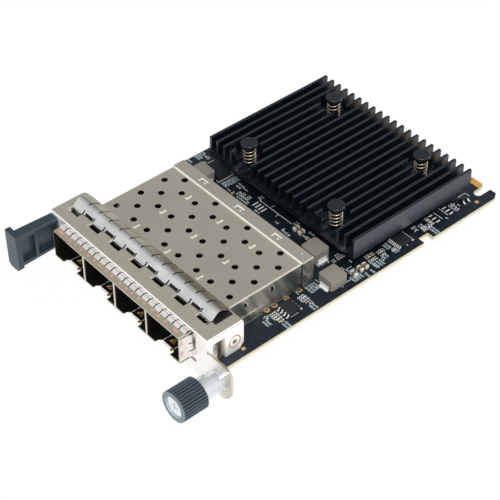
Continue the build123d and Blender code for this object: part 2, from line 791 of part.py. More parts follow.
# Captive thumbscrew on the ear. Profiles are drawn with Y along the axis and the radius upwards.
screw_profile = Plane((screw_x, 0, screw_z), x_dir=(0, 1, 0), z_dir=(1, 0, 0))
screw_axis = Axis((screw_x, 0, screw_z), (0, 1, 0))
sleeve_lip = 0.7
sleeve_bore = 2.35
collar_front = sleeve_front + sleeve_lip + 0.05
collar_rear = collar_front + 0.8
knob_web_front = knob_front + 1.4
knob_web_rear = knob_front + 2.5
thread_front = plate_rear + 0.5

# Each run of the sleeve: front, rear, outer and inner radius
sleeve_runs = (
    (sleeve_front, sleeve_front + sleeve_lip, sleeve_radius, screw_radius + 0.15),
    (sleeve_front + sleeve_lip, plate_front - 1.3, sleeve_radius, sleeve_bore),
    (plate_front - 1.3, plate_front - 0.5, sleeve_radius - 0.55, sleeve_bore),
    (plate_front - 0.5, plate_front, sleeve_radius, sleeve_bore),
    (plate_front, plate_rear, sleeve_radius - 0.65, screw_radius + 0.2),
    (plate_rear, plate_rear + 0.4, sleeve_radius - 0.25, screw_radius + 0.2),
)

with BuildPart() as thumbscrew_sleeve:
    for front, rear, outer, inner in sleeve_runs:
        with BuildSketch(front_view(rear)):
            with Locations((screw_x, screw_z)):
                RegularPolygon(outer, 24)
                RegularPolygon(inner, 16, mode=Mode.SUBTRACT)
        extrude(amount=rear - front)
thumbscrew_sleeve.part.label = "thumbscrew_sleeve"
export_step(thumbscrew_sleeve.part, "parts/thumbscrew_sleeve.step")

with BuildPart() as thumbscrew_collar:
    with BuildSketch(front_view(collar_rear)):
        with Locations((screw_x, screw_z)):
            RegularPolygon(sleeve_bore - 0.1, 16)
            RegularPolygon(neck_radius + 0.08, 16, mode=Mode.SUBTRACT)
    extrude(amount=collar_rear - collar_front)
thumbscrew_collar.part.label = "thumbscrew_collar"
export_step(thumbscrew_collar.part, "parts/thumbscrew_collar.step")

with BuildPart() as thumbscrew_spring:
    along_screw = Plane((screw_x, 0, screw_z), x_dir=(1, 0, 0), z_dir=(0, 1, 0))
    add(coil_spring(2.2, screw_spring_wire, collar_rear, plate_front, screw_spring_turns, along_screw))
thumbscrew_spring.part.label = "thumbscrew_spring"
export_step(thumbscrew_spring.part, "parts/thumbscrew_spring.step")

with BuildPart() as thumbscrew_screw:
    with BuildSketch(screw_profile):
        with BuildLine():
            Polyline(
                (knob_web_front, 0),
                (knob_web_front, neck_radius),
                (thread_front, neck_radius),
                (thread_front, screw_radius),
                (screw_tip - 0.3, screw_radius),
                (screw_tip, screw_radius - 0.3),
                (screw_tip, 0),
                close=True,
            )
        make_face()
    revolve(axis=screw_axis)
    with BuildSketch(front_view(knob_web_front)):
        with Locations((screw_x, screw_z)):
            RegularPolygon(3.18, 32)
    extrude(amount=1.0)
    with BuildSketch(front_view(knob_web_front - 1.0)):
        with Locations((screw_x, screw_z)):
            Rectangle(3.2, 0.6)
            Rectangle(0.6, 3.2)
    extrude(amount=-0.7, mode=Mode.SUBTRACT)
thumbscrew_screw.part.label = "thumbscrew_screw"
export_step(thumbscrew_screw.part, "parts/thumbscrew_screw.step")

with BuildPart() as thumbscrew_knob:
    rib_depth = 0.3
    with BuildSketch(front_view(knob_rear)):
        with Locations((screw_x, screw_z)):
            RegularPolygon(knob_radius - rib_depth, knob_rib_count)
            with PolarLocations(knob_radius - rib_depth / 2, knob_rib_count):
                Rectangle(rib_depth + 0.1, 0.65)
    extrude(amount=knob_rear - knob_front - 0.7)
    with BuildSketch(front_view(knob_front + 0.7)):
        with Locations((screw_x, screw_z)):
            RegularPolygon(knob_radius, 24)
    extrude(amount=0.7)
    with BuildSketch(screw_profile):
        with BuildLine():
            Polyline(
                (knob_front, 0),
                (knob_front, 3.2),
                (knob_web_front, 3.2),
                (knob_web_front, neck_radius),
                (knob_web_rear, neck_radius),
                (knob_web_rear, 3.5),
                (knob_rear, 3.5),
                (knob_rear, 0),
                close=True,
            )
        make_face()
    revolve(axis=screw_axis, mode=Mode.SUBTRACT)
thumbscrew_knob.part.label = "thumbscrew_knob"
export_step(thumbscrew_knob.part, "parts/thumbscrew_knob.step")

# Pull tab: a recessed bar with an end plate, its stem hooked through the faceplate
with BuildPart() as pull_tab:
    with BuildSketch(Plane.YZ.offset(tab_outer)):
        with BuildLine():
            Polyline(
                (tab_front + 1.0, tab_bottom),
                (plate_front, tab_bottom + 0.6),
                (plate_front, 9.3),
                (tab_front + 1.0, 10.0),
                close=True,
            )
        make_face()
    extrude(amount=tab_inner - tab_outer)
    chamfer(pull_tab.edges().filter_by(Axis.Y, reverse=True).group_by(Axis.X)[-1].sort_by(Axis.Z)[-1], 0.4)
    with BuildSketch(Plane.YZ.offset(tab_inner)):
        for rear, front in (
            (plate_front - 8.5, tab_front + 1.6),
            (plate_front - 0.9, plate_front - 7.5),
        ):
            with Locations(((rear + front) / 2, 4.1)):
                Rectangle(rear - front, 8.4)
    extrude(amount=-1.7, mode=Mode.SUBTRACT)
    with BuildSketch(front_view(tab_front + 1.8)) as end_plate:
        with Locations((tab_outer + 0.8, 3.45)):
            Rectangle(5.4, 13.5)
        chamfer(end_plate.vertices().group_by(Axis.Y)[0], 1.0)
    extrude(amount=1.8)
    with Locations((tab_stem_x, plate_front + plate_sheet / 2, tab_stem_z)):
        Box(1.4, plate_sheet, 5.6)
    with Locations((tab_stem_x + 0.1, plate_rear + 0.5, tab_stem_z)):
        Box(2.2, 1.0, 6.8)
pull_tab.part.label = "pull_tab"
export_step(pull_tab.part, "parts/pull_tab.step")

# Moulded inductors and their end terminals
with BuildPart() as power_inductors:
    for x, y, turn in inductor_places:
        with BuildSketch(Plane((x, y, terminal_sheet)).rotated((0, 0, turn))) as body_outline:
            Rectangle(inductor_length, inductor_width)
            chamfer(body_outline.vertices(), 0.5)
        extrude(amount=inductor_top - terminal_sheet)
power_inductors.part.label = "power_inductors"
export_step(power_inductors.part, "parts/power_inductors.step")

with BuildPart() as inductor_terminals:
    for x, y, turn in inductor_places:
        for side in (0, 180):
            with Locations(Location((x, y, 0), (0, 0, turn + side))):
                with Locations((inductor_length / 2 - 0.6, 0, 0)):
                    Box(1.2, terminal_width, terminal_sheet, align=on_board)
                with Locations((inductor_length / 2 + terminal_sheet / 2, 0, 0)):
                    Box(terminal_sheet, terminal_width, terminal_height, align=on_board)
inductor_terminals.part.label = "inductor_terminals"
export_step(inductor_terminals.part, "parts/inductor_terminals.step")

# Small chips: centre, size along X and Y, height, leads a side, lead pitch, lead width
chip_rows = (
    (board_half_width - 5.2, -79.3, 4.9, 3.9, 1.6, 4, 1.27, 0.42),
    (board_half_width - 5.2, -35.1, 5.0, 4.4, 1.0, 8, 0.65, 0.25),
)

small_chip = (board_half_width - 5.7, -7.6)
small_chip_width = 1.5

with BuildPart() as logic_chips:
    for x, y, length, width, height, count, pitch, lead in chip_rows:
        with Locations((x, y, 0.1)):
            Box(length, width, height - 0.1, align=on_board)
    with Locations((*small_chip, 0.1)):
        Box(small_chip_width, 2.9, 1.0, align=on_board)
    with Locations((-25.5, -55.6, 0)):
        Box(5.0, 5.0, 2.0, align=on_board)
    chamfer(logic_chips.edges().filter_by(Axis.Z), 0.12)
logic_chips.part.label = "logic_chips"
export_step(logic_chips.part, "parts/logic_chips.step")


def gull_wing(start, shoulder, height, sheet):
    """Closed outline of a bent lead from (start, height), outwards and down to the board."""
    knee = start + shoulder
    return (
        (start, height),
        (knee, height),
        (knee + 0.2, sheet),
        (knee + 0.75, sheet),
        (knee + 0.75, 0),
        (knee, 0),
        (start, height - 2 * sheet),
    )


with BuildPart() as chip_leads:
    for x, y, length, width, height, count, pitch, lead in chip_rows:
        for side in (-1, 1):
            for index in range(count):
                lead_x = x + (index - (count - 1) / 2) * pitch - side * lead / 2
                with BuildSketch(Plane((lead_x, y, 0), x_dir=(0, side, 0), z_dir=(side, 0, 0))):
                    with BuildLine():
                        Polyline(*gull_wing(width / 2, 0.35, height * 0.55, 0.15), close=True)
                    make_face()
            extrude(amount=lead)
    small_x, small_y = small_chip
    for side, y in ((1, small_y - 0.95), (1, small_y + 0.95), (-1, small_y)):
        with BuildSketch(Plane((small_x, y + side * 0.2, 0), x_dir=(side, 0, 0), z_dir=(0, -side, 0))):
            with BuildLine():
                Polyline(*gull_wing(small_chip_width / 2, 0.3, 0.6, 0.15), close=True)
            make_face()
        extrude(amount=0.4)
chip_leads.part.label = "chip_leads"
export_step(chip_leads.part, "parts/chip_leads.step")

# Ceramic capacitors and small chip parts, each a block on the board. The second tuple of each kind
# counts X from the board's right edge.
capacitor_places = ((9.0, -55.1, 90), (11.2, -55.1, 90))
edge_capacitor_places = ((-3.9, -53.0, 0), (-3.9, -51.0, 0), (-3.6, -55.8, 0))
small_capacitor_places = (
    (14.2, -55.5), (15.2, -55.5), (16.2, -55.5), (-24.4, -52.6), (-16.0, -58.5), (-9.6, -58.3), (6.7, -58.3),
)
edge_small_capacitor_places = (
    (-4.7, -47.2), (-4.1, -43.1), (-3.6, -39.9), (-4.1, -26.4), (-3.9, -24.1), (-6.0, -11.9), (-6.6, -67.2),
    (-3.1, -73.1), (-3.1, -84.0),
)
resistor_places = (
    (-35.4, -53.4), (-20.9, -57.5), (-12.9, -57.1), (-4.3, -58.6), (9.0, -58.4), (3.0, -57.5),
)
edge_resistor_places = (
    (-6.6, -47.2), (-5.8, -43.1), (-2.8, -45.0), (-5.9, -28.4), (-5.5, -26.6), (-4.0, -12.3), (-8.1, -68.6),
    (-6.7, -72.9), (-4.9, -84.4), (-7.1, -86.6),
)


def all_places(middle, beside_edge):
    """Places on the board, with those that are counted from the right edge added."""
    return list(middle) + [(board_half_width + x, *rest) for x, *rest in beside_edge]


with BuildPart() as ceramic_capacitors:
    for x, y, turn in all_places(capacitor_places, edge_capacitor_places):
        with Locations(Location((x, y, 0), (0, 0, turn))):
            Box(2.0, 1.25, 1.15, align=on_board)
ceramic_capacitors.part.label = "ceramic_capacitors"
export_step(ceramic_capacitors.part, "parts/ceramic_capacitors.step")

with BuildPart() as chip_capacitors:
    with Locations(*[(x, y, 0) for x, y in all_places(small_capacitor_places, edge_small_capacitor_places)]):
        Box(0.55, 1.0, 0.5, align=on_board)
chip_capacitors.part.label = "chip_capacitors"
export_step(chip_capacitors.part, "parts/chip_capacitors.step")

with BuildPart() as chip_resistors:
    with Locations(*[(x, y, 0) for x, y in all_places(resistor_places, edge_resistor_places)]):
        Box(1.0, 0.55, 0.35, align=on_board)
chip_resistors.part.label = "chip_resistors"
export_step(chip_resistors.part, "parts/chip_resistors.step")
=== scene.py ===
"""Looks of a mezzanine network card: finishes, small parts, board print, springs, light and camera."""

import logging
import math
from collections.abc import Iterator, Sequence
from contextlib import contextmanager
from dataclasses import dataclass
from enum import Enum

import bpy
from mathutils import Matrix, Vector


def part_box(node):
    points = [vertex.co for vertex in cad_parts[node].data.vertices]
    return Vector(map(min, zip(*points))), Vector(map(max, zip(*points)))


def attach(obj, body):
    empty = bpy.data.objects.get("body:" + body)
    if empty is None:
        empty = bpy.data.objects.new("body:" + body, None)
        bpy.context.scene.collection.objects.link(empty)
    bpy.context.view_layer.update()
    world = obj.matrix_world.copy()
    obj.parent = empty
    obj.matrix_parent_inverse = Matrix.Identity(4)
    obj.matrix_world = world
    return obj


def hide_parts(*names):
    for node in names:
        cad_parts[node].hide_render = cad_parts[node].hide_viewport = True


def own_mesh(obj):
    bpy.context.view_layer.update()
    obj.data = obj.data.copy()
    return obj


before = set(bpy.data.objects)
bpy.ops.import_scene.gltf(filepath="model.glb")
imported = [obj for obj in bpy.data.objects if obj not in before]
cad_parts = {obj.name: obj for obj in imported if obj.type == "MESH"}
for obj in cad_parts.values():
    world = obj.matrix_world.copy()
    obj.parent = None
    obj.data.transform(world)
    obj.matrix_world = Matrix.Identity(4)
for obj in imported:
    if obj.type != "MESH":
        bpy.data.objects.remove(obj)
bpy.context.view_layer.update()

MM = 0.001
# Past every end of the card, for boxes that are open to a side
FAR = 200.0
CARD = "card"
THUMBSCREW = "thumbscrew"
# Distance within which vertices are merged, and thickness of plated rings
MERGE_MM = 0.0005
PLATING_MM = 0.02
# Rows of the cage's press-in pins and of the ringed holes that they stand in
PIN_ROWS = (-84.3, -81.4, -76.9, -71.9)
# Left end of the large contact strip and the pitch of its fingers
STRIP_LEFT = -32.9
FINGER_PITCH = 4.86

Pair = tuple[float, float]
Point = tuple[float, float, float]
Box = tuple[Point, Point, float]
Tree = bpy.types.NodeTree
Socket = bpy.types.NodeSocket
Piece = bpy.types.Object

log = logging.getLogger("network_card")


def srgb(hex_code: str) -> tuple[float, float, float, float]:
    """Turn an sRGB hex colour into the linear colour that nodes take.

    Args:
        hex_code: Six hex digits.

    Returns:
        Linear red, green, blue and an alpha of one.
    """
    channels = [int(hex_code[start:start + 2], 16) / 255 for start in (0, 2, 4)]
    linear = [c / 12.92 if c <= 0.04045 else ((c + 0.055) / 1.055) ** 2.4 for c in channels]
    return (linear[0], linear[1], linear[2], 1.0)


def to_metres(point: Sequence[float]) -> Vector:
    """Return a place given in millimetres as a vector in metres."""
    return Vector(point) * MM


def finger_x(step: float) -> float:
    """Return the place across the card of a step, in finger pitches, along the large contact strip."""
    return STRIP_LEFT + step * FINGER_PITCH


def add_node(tree: Tree, kind: str, inputs: dict | None = None, **settings: object) -> bpy.types.Node:
    """Add a node with its settings, values and links.

    Args:
        tree: Node tree that gets the node.
        kind: Blender's identifier of the node without the ShaderNode that it starts with.
        inputs: Socket name or index, and the value or the output socket that feeds it.
        **settings: Properties of the node itself.

    Returns:
        The new node.
    """
    node = tree.nodes.new(f"ShaderNode{kind}")
    for name, value in settings.items():
        setattr(node, name, value)
    for key, value in (inputs or {}).items():
        if isinstance(value, Socket):
            tree.links.new(value, node.inputs[key])
        else:
            node.inputs[key].default_value = value
    return node


# Masks and layers of colour


class Blend(Enum):
    """How a colour lies on another: it covers it, or tints it so that its grain stays."""

    COVER = "MIX"
    TINT = "MULTIPLY"


def painted(tree: Tree, where: Socket, below: object, colour: object, blend: Blend = Blend.COVER) -> Socket:
    """Lay one colour over another.

    Args:
        tree: Material tree.
        where: One where the new colour lies.
        below: Colour or socket that it lies on.
        colour: Colour or socket of the new colour.
        blend: Whether it covers or tints.

    Returns:
        The mixed colour.
    """
    colours = {"Factor": where, 6: below, 7: colour}
    return add_node(tree, "Mix", colours, data_type="RGBA", blend_type=blend.value).outputs[2]


def above(tree: Tree, value: Socket, limit: float) -> Socket:
    """Return one where a value in a node tree is above a limit, and zero elsewhere."""
    return add_node(tree, "Math", {0: value, 1: limit}, operation="GREATER_THAN").outputs[0]


def beyond(tree: Tree, vector: Socket, axis: str, limit: float) -> Socket:
    """Return one where a vector reaches past a limit along an axis, either way.

    Args:
        tree: Material tree.
        vector: Object coordinates or a normal.
        axis: Letter of the axis.
        limit: How far it has to reach.

    Returns:
        The mask.
    """
    along = add_node(tree, "SeparateXYZ", {0: vector}).outputs[axis]
    reach = add_node(tree, "Math", {0: along}, operation="ABSOLUTE").outputs[0]
    return above(tree, reach, limit)


@dataclass(frozen=True)
class Layer:
    """A colour on the part of a surface that lies in a box of the card's frame.

    Attributes:
        colour: sRGB hex of the layer.
        low: Lower corner of the box.
        high: Upper corner of the box.
        blend: Whether the layer covers or tints what is below.
    """

    colour: str
    low: Point = (-FAR, -FAR, -FAR)
    high: Point = (FAR, FAR, FAR)
    blend: Blend = Blend.COVER

    def mask(self, tree: Tree, place: Socket) -> Socket:
        """Return one where the layer lies.

        Args:
            tree: Material tree.
            place: Object coordinates.

        Returns:
            The mask.
        """
        axes = add_node(tree, "SeparateXYZ", {0: place}).outputs
        mask = 1.0
        for axis, start, end in zip("XYZ", self.low, self.high):
            within = add_node(tree, "Math", {
                0: axes[axis], 1: (start + end) / 2 * MM, 2: (end - start) / 2 * MM,
            }, operation="COMPARE").outputs[0]
            mask = add_node(tree, "Math", {0: within, 1: mask}, operation="MULTIPLY").outputs[0]
        return mask

    def lay(self, tree: Tree, place: Socket, below: object) -> Socket:
        """Lay the layer on a colour.

        Args:
            tree: Material tree.
            place: Object coordinates.
            below: Colour or socket that it lies on.

        Returns:
            The mixed colour.
        """
        return painted(tree, self.mask(tree, place), below, srgb(self.colour), self.blend)


@dataclass(frozen=True)
class Fade(Layer):
    """A colour that comes in along an axis, by a face's place or by the way that it looks.

    Attributes:
        axis: Letter of the axis.
        span: Where the colour starts to come in and where it is whole.
        by_normal: True to measure the way a face looks, false to measure its place.
    """

    axis: str = "Z"
    span: Pair = (0.0, 1.0)
    by_normal: bool = False

    def mask(self, tree: Tree, place: Socket) -> Socket:
        """Return how far the colour has come in.

        Args:
            tree: Material tree.
            place: Object coordinates.

        Returns:
            The mask.
        """
        source, unit = place, MM
        if self.by_normal:
            source, unit = add_node(tree, "NewGeometry").outputs["Normal"], 1.0
        return add_node(tree, "MapRange", {
            "Value": add_node(tree, "SeparateXYZ", {0: source}).outputs[self.axis],
            "From Min": self.span[0] * unit, "From Max": self.span[1] * unit,
        }).outputs["Result"]


# Finishes


@dataclass(frozen=True)
class Finish:
    """A surface of one real material, with its grain and its uneven gloss.

    Attributes:
        name: Common name of the material and how its surface was made.
        colour: sRGB hex of the clean surface.
        shade: sRGB hex that the colour drifts to.
        metallic: One for bare metal, zero for what isn't metal.
        roughness: Middle roughness.
        drift: How far the roughness moves either way.
        grain_mm: Size of the fine grain.
        stretch: How much longer the grain is along X, Y and Z.
        blotch_mm: Size of the slow drift in colour.
        bump_mm: Height of the grain.
        grain_share: Part of the colour drift that follows the fine grain.
        gloss: Strength of the clear reflection on what isn't metal.
        sheen: sRGB hex that tints that reflection.
        noise_range: Values of the noise where the drift starts and where it is whole.
        layers: Colours on parts of the surface, from the lowest.
    """

    name: str
    colour: str
    shade: str
    metallic: float = 0.0
    roughness: float = 0.4
    drift: float = 0.06
    grain_mm: float = 0.4
    stretch: Point = (1.0, 1.0, 1.0)
    blotch_mm: float = 9.0
    bump_mm: float = 0.004
    grain_share: float = 0.35
    gloss: float = 0.5
    sheen: str = "ffffff"
    noise_range: Pair = (0.32, 0.68)
    layers: tuple[Layer, ...] = ()

    def material(self) -> bpy.types.Material:
        """Return the finish's material, made on first use."""
        found = bpy.data.materials.get(self.name)
        if found:
            return found
        material = bpy.data.materials.new(self.name)
        material.use_nodes = True
        self.fill(material.node_tree)
        return material

    def fill(self, tree: Tree) -> None:
        """Empty a material's node tree and build the surface in it.

        Args:
            tree: Material tree.
        """
        tree.nodes.clear()
        place = add_node(tree, "TexCoord").outputs["Object"]
        grain = self.grain(tree, place)
        blotch = add_node(tree, "TexNoise", {
            "Vector": place, "Scale": 1 / (self.blotch_mm * MM), "Detail": 3.0, "Roughness": 0.55,
        }).outputs["Fac"]
        noise = add_node(tree, "Mix", {"Factor": self.grain_share, 2: blotch, 3: grain}).outputs[0]
        spread = add_node(tree, "MapRange", {
            "Value": noise, "From Min": self.noise_range[0], "From Max": self.noise_range[1],
        }).outputs["Result"]
        colour = painted(tree, spread, srgb(self.colour), srgb(self.shade))
        roughness = add_node(tree, "MapRange", {
            "Value": spread, "To Min": self.roughness - self.drift, "To Max": self.roughness + self.drift,
        }).outputs["Result"]
        bump = add_node(tree, "Bump", {
            "Height": grain, "Distance": self.bump_mm * MM, "Strength": 1.0,
        }).outputs["Normal"]
        shader = add_node(tree, "BsdfPrincipled", {
            "Base Color": self.dressed(tree, place, colour), "Roughness": roughness,
            "Metallic": self.metallic, "Normal": bump, "Specular IOR Level": self.gloss,
            "Specular Tint": srgb(self.sheen),
        })
        add_node(tree, "OutputMaterial", {"Surface": shader.outputs[0]})

    def grain(self, tree: Tree, place: Socket) -> Socket:
        """Return the fine grain.

        Args:
            tree: Material tree.
            place: Object coordinates.

        Returns:
            A value round a half.
        """
        stretched = add_node(tree, "Mapping", {
            "Vector": place, "Scale": tuple(1 / (self.grain_mm * MM * s) for s in self.stretch),
        }).outputs["Vector"]
        return add_node(tree, "TexNoise", {
            "Vector": stretched, "Scale": 1.0, "Detail": 2.0, "Roughness": 0.6,
        }).outputs["Fac"]

    def dressed(self, tree: Tree, place: Socket, colour: Socket) -> Socket:
        """Return the surface's colour with its layers on it.

        Args:
            tree: Material tree.
            place: Object coordinates.
            colour: Colour of the bare surface.

        Returns:
            The colour that is seen.
        """
        for layer in self.layers:
            colour = layer.lay(tree, place, colour)
        return colour


@dataclass(frozen=True)
class BoardFinish(Finish):
    """Black solder mask over copper runs, with the bare glass laminate showing on every sawn edge."""

    edge_colour: str = "b5ae90"
    lower_edge: Layer = Fade("dad6c2", axis="Z", span=(-0.3, -1.3))
    flat_normal: float = 0.5
    run_colour: str = "1c252e"
    run_mm: float = 1.9
    run_border: Pair = (0.05, 0.09)
    run_strength: float = 0.4

    def dressed(self, tree: Tree, place: Socket, colour: Socket) -> Socket:
        """Return the mask's colour with faint copper runs under it, its layers and the sawn edges.

        Args:
            tree: Material tree.
            place: Object coordinates.
            colour: Colour of the mask.

        Returns:
            The colour that is seen.
        """
        cells = add_node(tree, "TexVoronoi", {
            "Vector": place, "Scale": 1 / (self.run_mm * MM), "Randomness": 0.8,
        }, feature="DISTANCE_TO_EDGE", distance="CHEBYCHEV").outputs["Distance"]
        runs = add_node(tree, "MapRange", {
            "Value": cells, "From Min": self.run_border[0], "From Max": self.run_border[1],
            "To Min": self.run_strength, "To Max": 0.0,
        }).outputs["Result"]
        masked = painted(tree, runs, colour, srgb(self.run_colour))
        edge = self.lower_edge.lay(tree, place, srgb(self.edge_colour))
        normal = add_node(tree, "NewGeometry").outputs["Normal"]
        flat = beyond(tree, normal, "Z", self.flat_normal)
        return painted(tree, flat, edge, super().dressed(tree, place, masked))


@dataclass(frozen=True)
class SheetFinish(Finish):
    """Tinned sheet with painted shade on its inner faces, seen through the vents, and painted reflections on
    its walls.
    """

    # Painted shade on the faces that look into the cage
    inner_shade_colour: str = "47423c"
    middle: Point = (0.0, -93.0, 4.9)
    inside: float = -3.5
    wall_normal: float = 0.9
    # Painted reflections, streaked on the side walls
    reflection_mm: Point = (60.0, 3.2, 60.0)
    reflection_turn: float = math.radians(24)
    reflection_range: Pair = (0.4, 0.66)
    reflection_colour: str = "868d93"

    def dressed(self, tree: Tree, place: Socket, colour: Socket) -> Socket:
        """Return the sheet's colour: painted reflections on its walls, painted shade on its inner faces.

        Args:
            tree: Material tree.
            place: Object coordinates.
            colour: Colour of the clean sheet.

        Returns:
            The colour that is seen.
        """
        outward = add_node(tree, "VectorMath", {
            0: place, 1: tuple(to_metres(self.middle)),
        }, operation="SUBTRACT").outputs[0]
        normal = add_node(tree, "NewGeometry").outputs["True Normal"]
        depth = add_node(tree, "VectorMath", {0: outward, 1: normal}, operation="DOT_PRODUCT")
        inner = add_node(tree, "Math", {
            0: depth.outputs["Value"], 1: self.inside * MM,
        }, operation="LESS_THAN").outputs[0]
        painted_reflections = self.painted_reflections(tree, place, normal)
        reflected = painted(tree, painted_reflections, colour, srgb(self.reflection_colour), Blend.TINT)
        inner_shaded = painted(tree, inner, reflected, srgb(self.inner_shade_colour))
        return super().dressed(tree, place, inner_shaded)

    def painted_reflections(self, tree: Tree, place: Socket, normal: Socket) -> Socket:
        """Return where the soft slanting streaks of painted reflection lie, on the side walls alone.

        Args:
            tree: Material tree.
            place: Object coordinates.
            normal: Normal of the bare faces.

        Returns:
            A mask.
        """
        stretched = add_node(tree, "Mapping", {
            "Vector": place, "Rotation": (self.reflection_turn, 0.0, 0.0),
            "Scale": tuple(size * MM for size in self.reflection_mm),
        }, vector_type="TEXTURE").outputs["Vector"]
        noise = add_node(tree, "TexNoise", {
            "Vector": stretched, "Scale": 1.0, "Detail": 1.0, "Roughness": 0.5,
        }).outputs["Fac"]
        reflection = add_node(tree, "MapRange", {
            "Value": noise, "From Min": self.reflection_range[0], "From Max": self.reflection_range[1],
        }).outputs["Result"]
        return add_node(tree, "Math", {
            0: reflection, 1: beyond(tree, normal, "X", self.wall_normal),
        }, operation="MULTIPLY").outputs[0]


@dataclass(frozen=True)
class KnobFinish(Finish):
    """Moulded plastic, painted shade between its ribs and a painted reflection of the screw in its bore."""

    # Painted shade in the grooves, and a painted reflection of the screw in the bore
    groove_shade_colour: str = "0b0f13"
    groove_radii: Pair = (4.54, 4.74)
    bore_reflection_colour: str = "a4afb5"
    bore_radius: float = 3.3
    axis: Point = (40.1, 0.0, 0.4)

    def dressed(self, tree: Tree, place: Socket, colour: Socket) -> Socket:
        """Return painted shade in the grooves and a painted reflection in the bore, with the layers between.

        Args:
            tree: Material tree.
            place: Object coordinates.
            colour: Colour of the ribs.

        Returns:
            The colour that is seen.
        """
        flat = add_node(tree, "VectorMath", {0: place, 1: (1.0, 0.0, 1.0)}, operation="MULTIPLY").outputs[0]
        reach = add_node(tree, "VectorMath", {
            0: flat, 1: tuple(to_metres(self.axis)),
        }, operation="DISTANCE").outputs["Value"]
        rib = add_node(tree, "MapRange", {
            "Value": reach, "From Min": self.groove_radii[0] * MM, "From Max": self.groove_radii[1] * MM,
        }).outputs["Result"]
        ribbed = super().dressed(tree, place, painted(tree, rib, srgb(self.groove_shade_colour), colour))
        return painted(tree, above(tree, reach, self.bore_radius * MM), srgb(self.bore_reflection_colour), ribbed)


